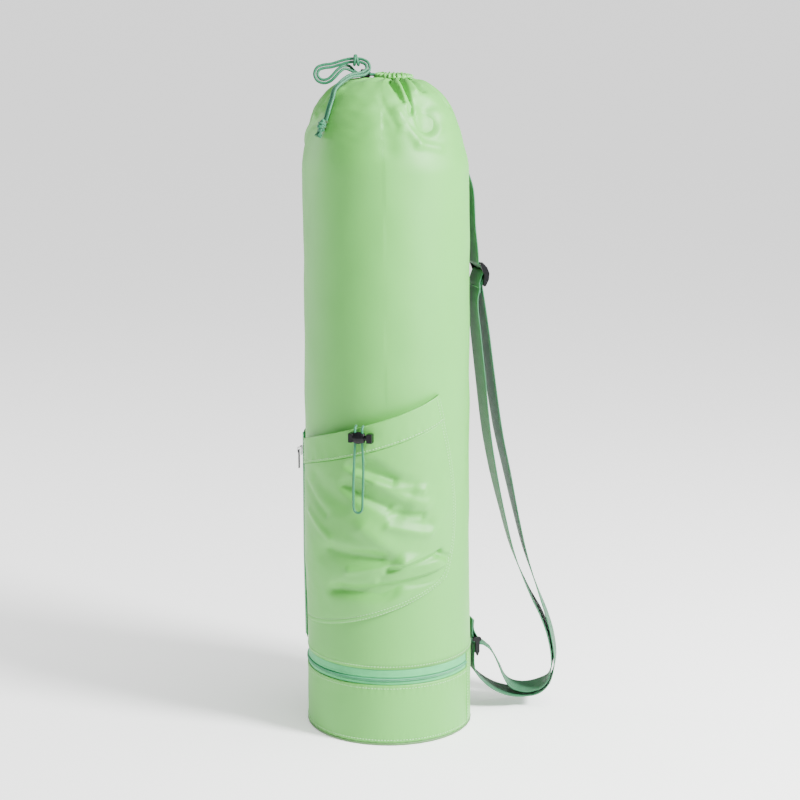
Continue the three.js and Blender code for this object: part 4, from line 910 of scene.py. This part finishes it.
def tab_route():
    wall = -6.55 + GAP + STRAP_THICK / 2
    on_bar = TOP_BAR[2] + 0.25 + STRAP_THICK / 2
    x, y = TOP_BAR[:2]
    points = threaded([
        (wall, y + 25, 0, 1), (wall, y + 25 * 0.36, 0, 1), (x, y, on_bar, 1),
        (wall + LAYER, y + 25 * 0.46, 0, 1), (wall + LAYER, y + 25 * 0.92, 0, 1),
    ])
    return [at_buckle(p) for p in points]


TAB_FRAMES = ribbon_frames(tab_route(), 2.0)
add_ribbon("lower_tab_ribbon", TAB_FRAMES, "lower_tab")


# Neck hem: a gathered tunnel of cloth that stands on the top of the dome

def neck_hem_cloth():
    bearing = np.arange(420) * 360 / 420
    phase = bearing * 12 + 24 * np.sin(np.radians(2 * bearing + 20)) + 14 * np.sin(np.radians(5 * bearing))
    fold = 1 - 2 * np.abs(np.sin(np.radians(phase)))
    small = np.sin(np.radians(bearing * 41))
    tall = 1 - 0.5 * np.exp(-((bearing - 92) / 42) ** 2) - 0.12 * np.exp(-((bearing - 270) / 25) ** 2)
    profile = [
        (3.5, 1.3, 0.6), (3.3, 2.8, 1), (2.5, 4.1, 1), (1.2, 4.9, 1), (-0.2, 5.1, 1), (-1.7, 4.6, 0.9),
        (-2.9, 3.2, 0.7), (-3.3, 1.2, 0.5), (-3.2, -0.9, 0.3), (-2.4, -0.9, 0.3), (-2.5, 1.2, 0.5),
        (-2.1, 2.7, 0.7), (-1.1, 3.8, 0.9), (-0.1, 4.2, 1), (0.9, 4, 1), (1.8, 3.2, 1), (2.5, 2, 0.8),
        (2.7, 0.9, 0.5),
    ]
    rings = [body_point(1.972, bearing, 0.15, body_detail(1.972, bearing))]
    for out, up, loose in profile:
        radius = NECK_RADIUS + out + loose * (0.75 * fold + 0.15 * small) * np.sign(out)
        rings.append(on_circle(radius, bearing, up * tall + loose * (0.75 * fold + 0.3 * small)) + NECK)
    faces = ring_faces(len(rings), len(bearing))
    obj = new_object("neck_hem_cloth", np.concatenate(rings), faces, NYLON)
    with_uv(obj, uv_grid(bearing * 0.0004, np.arange(len(rings))[:, None] * 0.0015))
    finish_piece(obj, "nylon", "neck_hem")


neck_hem_cloth()


# Base compartment, its hinge panel and the zips

ZIP_FROM, ZIP_TO = 140.2, 429.8
HINGE_FROM, HINGE_TO = 70, 140
SIDE_BEARING = -93
TAPE_THICK, TEETH_THICK = 0.7, 0.6


def wall_place(bearing, height, offset):
    return on_bag(wall_radius(height) + offset, bearing, height)


def add_band(node_name, ending, bearings, heights, thick, material, slot, lift):
    """A sheet round the bag. lift gives how far its outer face stands off the wall."""
    bearing = np.linspace(*bearings)[None, :]
    height = np.linspace(*heights)[:, None]
    off = lift(bearing, height)
    outer, inner = wall_place(bearing, height, off), wall_place(bearing, height, off - thick)
    uv = uv_grid(bearing * PER_DEGREE * 0.001, height * 0.001)
    finish_piece(two_layers(f"{node_name}_{ending}", outer, inner, uv, material), slot, node_name)


def base_lift(bearing, height):
    around = np.radians(bearing) * SKIN_RADIUS
    edge = 0.55 * np.exp(-((height - 70.2) / 1.5) ** 2)
    pucker = 0.22 * np.cos(around * 2 * math.pi / 8) * np.exp(-((height - 70) / 8) ** 2)
    pucker = pucker + 0.22 * np.cos(around * 2 * math.pi / 9) * np.exp(-((height - 3) / 7) ** 2)
    soft = 0.45 * field(around, height, 55, 41) * smooth(3, 14, height) * (1 - smooth(56, 68, height))
    return edge + pucker + soft - 0.15


def hinge_lift(bearing, height):
    around = np.radians(bearing) * SKIN_RADIUS
    side = np.minimum(bearing - HINGE_FROM, HINGE_TO - bearing) * PER_DEGREE
    seam = 0.6 * np.exp(-((side - 1.2) / 1.1) ** 2) - 0.3 * np.exp(-((side - 4) / 1.2) ** 2)
    return 0.3 * field(around, height, 30, 43) * smooth(0, 8, side) + seam - 0.1


def tape_lift(bearing, height):
    ridges = np.exp(-((height - 81.2) / 0.8) ** 2) + np.exp(-((height - 74.9) / 0.8) ** 2)
    return -0.95 + 0.3 * ridges + 0 * bearing


def side_tape_lift(bearing, height):
    across = (bearing - SIDE_BEARING) * PER_DEGREE
    return GAP + 0.8 - 0.25 * np.exp(-((np.abs(across) - 4.5) / 1) ** 2) + 0 * height


def teeth(share, side, run, pitch, least):
    """The rise of two rows of zip teeth. share goes from -1 to 1 across them, and run along them."""
    tooth = np.abs(np.cos(math.pi * run / pitch + side * math.pi / 4))
    split = np.exp(-(share / 0.16) ** 2)
    return np.sqrt(1 - share ** 2) * (least + (1 - least) * tooth) * (1 - 0.45 * split)


def coil_lift(bearing, height):
    across = height - 78
    share = np.clip(across / 2, -1, 1)
    return -0.9 + 2.2 * teeth(share, np.sign(across), np.radians(bearing) * SKIN_RADIUS, 1.55, 0.62)


def side_coil_lift(bearing, height):
    across = bearing - SIDE_BEARING
    share = np.clip(across * PER_DEGREE / 2.5, -1, 1)
    return 1.7 + 1.5 * teeth(share, np.sign(across), height, 1.7, 0.6)


def side_span(width):
    half = math.degrees(width / 2 / BASE_RADIUS)
    return SIDE_BEARING - half, SIDE_BEARING + half


zip_run = (ZIP_FROM, ZIP_TO)
for row in (
    ("base_wall", "cloth", (*zip_run, 420), (3.3, 71.7, 48), CLOTH, NYLON, "nylon", base_lift),
    ("hinge_panel", "cloth", (HINGE_FROM, HINGE_TO, 110), (3.3, 89.7, 48), CLOTH, NYLON, "nylon", hinge_lift),
    ("base_zip_tape_upper", "cloth", (*zip_run, 220), (80.3, 89.7, 12), TAPE_THICK, ZIP, "zip", tape_lift),
    ("base_zip_tape_lower", "cloth", (*zip_run, 220), (72, 75.7, 7), TAPE_THICK, ZIP, "zip", tape_lift),
    ("base_zip_coil", "teeth", (*zip_run, 1240), (76, 80, 13), TEETH_THICK, TEETH, "zip", coil_lift),
    ("side_zip_tape", "cloth", (*side_span(16), 17), (98, 345, 90), TAPE_THICK, ZIP, "zip", side_tape_lift),
    (
        "side_zip_coil", "teeth", (*side_span(5), 13), (101, 342, 570), TEETH_THICK, TEETH, "zip",
        side_coil_lift,
    ),
):
    add_band(*row)


def base_piping():
    """The sewn edge between the wall and the bottom, rolled outward."""
    bearing = np.arange(260) * 360 / 260
    profile = [
        (-2.7, 0.05), (-1.4, 0.02), (-0.3, 0.15), (0.35, 0.8), (0.5, 1.6), (0.3, 2.4), (-0.3, 2.95),
        (-1.4, 3), (-2.7, 2.9),
    ]
    rings = []
    for out, up in profile:
        wave = 0.12 * np.sin(np.radians(bearing * 37)) * (out > -1)
        rings.append(on_circle(BASE_RADIUS + out + wave, bearing, up))
    faces = ring_faces(len(rings), len(bearing))
    finish_piece(new_object("base_seam_piping", np.concatenate(rings), faces, PIPING_PAINTED_SHADE), "nylon", "base_seam")


base_piping()


# Stitches: one small rounded thread for each stitch, in rows over the cloth

STITCH_SIDES = 5
# Shares of a stitch's length, with its size there and how high it rises
STITCH_SHAPE = [(0, 0.35, -0.35), (0.15, 0.9, 0.1), (0.5, 1.05, 0.35), (0.85, 0.9, 0.1), (1, 0.35, -0.35)]


def stitch_row(name, places, outs, material=THREAD, length=2.3, gap=1.3, thick=0.5, slot="nylon"):
    places, outs = np.asarray(places, float), np.asarray(outs, float)
    runs = run_lengths(places)

    def on_run(mark, rows):
        return np.array([np.interp(mark, runs, rows[:, i]) for i in range(3)])

    verts, faces = [], []
    start = gap
    while start + length < runs[-1]:
        faces += tube_faces(len(STITCH_SHAPE), STITCH_SIDES, len(verts))
        for share, size, lift in STITCH_SHAPE:
            mark = start + share * length
            place, out = on_run(mark, places), on_run(mark, outs)
            out /= np.linalg.norm(out)
            side = np.cross(on_run(mark + 0.2, places) - on_run(mark - 0.2, places), out)
            side /= max(np.linalg.norm(side), 1e-9)
            for k in range(STITCH_SIDES):
                angle = 2 * math.pi * k / STITCH_SIDES
                high = thick * (lift + 0.25) + thick * size * math.sin(angle)
                verts.append(place + out * high + side * thick * size * math.cos(angle))
        start += length + gap
    finish_piece(new_object(name, verts, faces, material), slot)


def on_body(height, bearings, offset=0.0):
    bearings = np.asarray(bearings, float)
    level = np.full(bearings.shape, (height - ZIP_TOP) / (SHOULDER_HEIGHT - ZIP_TOP))
    place = body_point(level, bearings, offset, body_detail(level, bearings))
    return place, on_circle(1, bearings, 0)


def on_band(lift, bearings, heights):
    bearings, heights = np.broadcast_arrays(np.asarray(bearings, float), np.asarray(heights, float))
    return wall_place(bearings, heights, lift(bearings, heights)), on_circle(1, bearings, 0)


def on_pocket(wide, tall):
    wide, tall = np.broadcast_arrays(np.asarray(wide, float), np.asarray(tall, float))
    hem = tall > hem_share(wide, 0)
    fine, lift = pocket_fine(wide, tall)
    cloth = pocket_place(wide, tall, CLOTH + lift, fine)
    _, hem_lift = hem_fine(wide, tall)
    on_hem = pocket_place(wide, tall, HEM_THICK + hem_lift, 0.0)
    return np.where(hem[:, None], on_hem, cloth), on_circle(1, pocket_bearing(wide, tall), 0)


def border(inset):
    """The pocket's border at an inset in mm: along the bottom, round the corner and up the right edge."""
    share = inset / 205
    low = np.linspace(0.01, 1 - 3.2 * share, 260)
    corner = np.radians(np.linspace(-80, -10, 12))
    turn_wide = 1 - 3.2 * share + 2.2 * share * np.cos(corner)
    turn_tall = 3.2 * share + 2.2 * share * np.sin(corner)
    up = np.linspace(3.2 * share, 0.995, 260)
    wide = np.concatenate([low, turn_wide, np.full(260, 1 - share)])
    tall = np.concatenate([np.full(260, share), turn_tall, up])
    return on_pocket(wide, tall)


stitch_row("pocket_stitch_outer", *border(1.6))
stitch_row("pocket_stitch_inner", *border(6.2))
wide_run = np.linspace(0.005, 0.985, 300)
stitch_row("pocket_hem_stitch", *on_pocket(wide_run, hem_share(wide_run, -2.2)))
zip_run = np.linspace(*zip_run, 400)
stitch_row("body_zip_stitch", *on_body(93.4, zip_run))
stitch_row("hinge_top_stitch", *on_body(93.4, np.linspace(HINGE_FROM, HINGE_TO, 100)))
stitch_row("base_zip_stitch", *on_band(base_lift, zip_run, 67.6))
stitch_row("base_edge_stitch", *on_band(base_lift, zip_run, 6.4))
for side, turn in (("right", 73.2), ("back", 136.8)):
    stitch_row(f"hinge_stitch_{side}", *on_band(hinge_lift, turn, np.linspace(5, 88, 60)))
for side, turn in (("front", SIDE_BEARING + 3.9), ("rear", SIDE_BEARING - 3.9)):
    row = on_band(side_tape_lift, turn, np.linspace(100, 343, 120))
    stitch_row(f"side_zip_stitch_{side}", *row, slot="zip")


def across_ribbon(frame, reach):
    place, across, out = frame
    return [place + across * x + out * STRAP_THICK / 2 for x in np.linspace(-reach, reach, 24)], [out] * 24


def along_ribbon(frames, x, side):
    places = [place + across * x + out * side * STRAP_THICK / 2 for place, across, out in frames]
    return places, [out * side for _, _, out in frames]


def facing_out(frames):
    """1 where the ribbon's own out direction points away from the bag, else -1."""
    place, _, out = frames[len(frames) // 2]
    return 1 if out[0] * place[0] + out[1] * place[1] > 0 else -1


def bar_stitch(name, frame, reach, side, **more):
    """A row straight across a ribbon, on the face that side names."""
    places, outs = across_ribbon(frame, reach)
    moved = [p - o * STRAP_THICK * (side < 0) for p, o in zip(places, outs)]
    stitch_row(name, moved, [o * side for o in outs], WEB_THREAD, slot="webbing", **more)


SEWN = STRAP_FRAMES[-14:]
SEWN_SIDE = facing_out(SEWN)
TAB_SIDE = facing_out(TAB_FRAMES[-6:])
for number, x in enumerate((-16.5, 16.5)):
    stitch_row(f"strap_end_stitch_{number}", *along_ribbon(SEWN, x, SEWN_SIDE), WEB_THREAD, slot="webbing")
for number, k in enumerate((-2, -12)):
    bar_stitch(f"strap_end_bar_{number}", STRAP_FRAMES[k], 16.5, SEWN_SIDE)
for ending, side in (("in", 1), ("out", -1)):
    bar_stitch(f"strap_tail_stitch_{ending}", STRAP_FRAMES[2], 17.5, side, length=1.5, gap=0.5, thick=0.4)
for number, x in enumerate((-16.5, 16.5)):
    row = along_ribbon(TAB_FRAMES[-8:], x, TAB_SIDE)
    stitch_row(f"tab_stitch_{number}", *row, WEB_THREAD, slot="webbing")


# Knots

def turned_path(wide, high, lean, place, frame):
    """A turn of cord round a bundle that runs along the first axis of frame."""
    points = []
    for angle in np.linspace(0, 2 * math.pi, 49):
        y = math.cos(angle) * (wide / 2 + CORD / 2)
        z = math.sin(angle) * (high / 2 + CORD / 2)
        points.append(place + frame @ np.array([lean * z + 0.25 * CORD * (angle / math.pi - 1), y, z]))
    return points


def cord_mesh(name, pieces):
    """One mesh from several tubes of cord, each (path, radius)."""
    made = [tube(f"{name}_{n}", path, radius, CORD * 1.5) for n, (path, radius) in enumerate(pieces)]
    verts, faces = [], []
    for obj in made:
        start = len(verts)
        verts += [np.array(v.co) * 1000 for v in obj.data.vertices]
        faces += [tuple(start + i for i in face.vertices) for face in obj.data.polygons]
        mesh = obj.data
        bpy.data.objects.remove(obj)
        bpy.data.meshes.remove(mesh)
    return new_object(name, verts, faces, CORD_LOOK)


def bow_knot_cord():
    place = NECK + BOW[BOW_KNOT]
    frame = np.eye(3)
    wide, high = CORD + 0.6, CORD + 3.8
    pieces = [
        (turned_path(wide, high, 0.16, place - [CORD * 0.4, 0, 0], frame), CORD / 2),
        (turned_path(wide, high, -0.2, place + [CORD * 0.45, 0, 0], frame), CORD / 2),
    ]
    return finish_piece(cord_mesh("bow_knot_cord", pieces), "cord", "bow_knot")


def end_knot_cord():
    (before_bearing, before_dome), (bearing, dome) = TAIL[-2:]
    off = CORD / 2 + GAP
    end = body_point(1 + dome, bearing, off)
    along = end - body_point(1 + before_dome, before_bearing, off)
    along /= np.linalg.norm(along)
    out = body_point(1 + dome, bearing, off + 1) - end
    out -= along * np.dot(out, along)
    out /= np.linalg.norm(out)
    frame = np.stack([along, np.cross(out, along), out], axis=1)
    place = end + along * (GAP + 0.2) + out * CORD * 0.9

    def at(x, y, z):
        return place + frame @ np.array([x, y, z], float)

    def turn(lean, reach):
        return turned_path(CORD * 0.9, CORD * 1.1, lean, place + along * reach, frame), CORD / 2

    pieces = []
    for side in (1, -1):
        strand = [at(x, side * 1.2 * math.sin(x), side * 0.8 * math.cos(x)) for x in np.linspace(0, 12, 26)]
        pieces.append((strand, CORD * 0.72))
    pieces += [turn(0.25, 3.4), turn(-0.3, 8.4), turn(0.75, 5.9)]
    pick = np.random.default_rng(7)
    for side in (-1, 1):
        for _ in range(16):
            y, z = pick.uniform(-0.9, 0.9, 2)
            spread = pick.uniform(-0.25, 0.25, 2)
            reach = pick.uniform(5, 7.8)
            strand = []
            for t in np.linspace(0, 1, 6):
                across = side * CORD * (0.5 + 0.15 * t) + y * (0.8 + t) + spread[0] * reach * t * t
                strand.append(at(11.4 + reach * t, across, z * (0.8 + t) + spread[1] * reach * t * t))
            pieces.append((strand, 0.42))
    return finish_piece(cord_mesh("end_knot_cord", pieces), "cord", "end_knot")


BOW_PIECE = bow_knot_cord()
END_PIECE = end_knot_cord()


# Cords

add_cord("drawcord_a_braid", drawcord_points(-1), CORD, ["drawcord_a"])
add_cord("drawcord_b_braid", drawcord_points(1), CORD, ["drawcord_b"])
add_cord("elastic_braid", elastic_points(), ELASTIC, ["pocket_elastic"])


# Hard pieces and hidden ones keep their solids, rounded and with their own materials

def dress(name, material, voxel=None, rounds=0):
    obj = frame["nodes"][name]
    obj.data.materials.clear()
    obj.data.materials.append(material)
    if voxel:
        remesh = obj.modifiers.new("rounded", "REMESH")
        remesh.mode = "VOXEL"
        remesh.voxel_size = voxel * 0.001
        remesh.use_smooth_shade = True
        soften = obj.modifiers.new("soften", "SMOOTH")
        soften.factor = 0.5
        soften.iterations = rounds


dress("base_panel", NYLON)
dress("neck_cord", CORD_LOOK)
for name, material, voxel, rounds in (
    ("pocket_lock_body", PLASTIC, 0.3, 6), ("pocket_lock_button", PLASTIC, 0.3, 4),
    ("neck_lock_body", PLASTIC, 0.3, 6), ("neck_lock_button", PLASTIC, 0.3, 4),
    ("strap_slider", PLASTIC, 0.4, 5), ("lower_buckle", PLASTIC, 0.4, 5),
    ("base_zip_slider", PLASTIC, 0.3, 6), ("side_zip_slider", STEEL, 0.22, 4),
    ("side_zip_pull", PLASTIC, 0.22, 3),
):
    dress(name, material, voxel, rounds)


# Floor and light

def add_floor():
    size = 700
    corners = [(-size, -size, 0), (size, -size, 0), (size, size, 0), (-size, size, 0)]
    mesh = bpy.data.meshes.new("floor")
    mesh.from_pydata(corners, [], [(0, 1, 2, 3)])
    floor = linked("floor", mesh)
    material, tree, principled = shader("floor", (0.95, 0.95, 0.95), 0.9)
    tinted(tree, principled, (0.95, 0.95, 0.95), 3, 0.005)
    principled.inputs["Emission Color"].default_value = (1, 1, 1, 1)
    principled.inputs["Emission Strength"].default_value = 0.42
    mesh.materials.append(material)


def add_lamp(name, kind, way, power):
    """A lamp that shines along way."""
    data = bpy.data.lights.new(name, kind)
    data.energy = power
    lamp = linked(name, data)
    flat = math.hypot(way[0], way[1])
    lamp.rotation_euler = (math.atan2(flat, -way[2]), 0, math.atan2(-way[0], way[1]))
    return lamp


def set_world(strength):
    world = bpy.data.worlds.new("studio")
    bpy.context.scene.world = world
    world.use_nodes = True
    background = world.node_tree.nodes["Background"]
    background.inputs["Color"].default_value = (1, 1, 1, 1)
    background.inputs["Strength"].default_value = strength


add_floor()
set_world(0.46)
add_lamp("overhead", "SUN", (-0.4, 0.22, -1.2), 2.3).data.angle = math.radians(45)
for name, place, aim, size, power in (
    ("key", (1.5, -0.9, 1.5), (0.05, 0, 0.58), 0.5, 165), ("rim", (-2.2, 0.9, 0.9), (0, 0, 0.4), 0.9, 25),
):
    lamp = add_lamp(name, "AREA", np.subtract(aim, place), power)
    lamp.location = place
    lamp.data.shape = "DISK"
    lamp.data.size = size
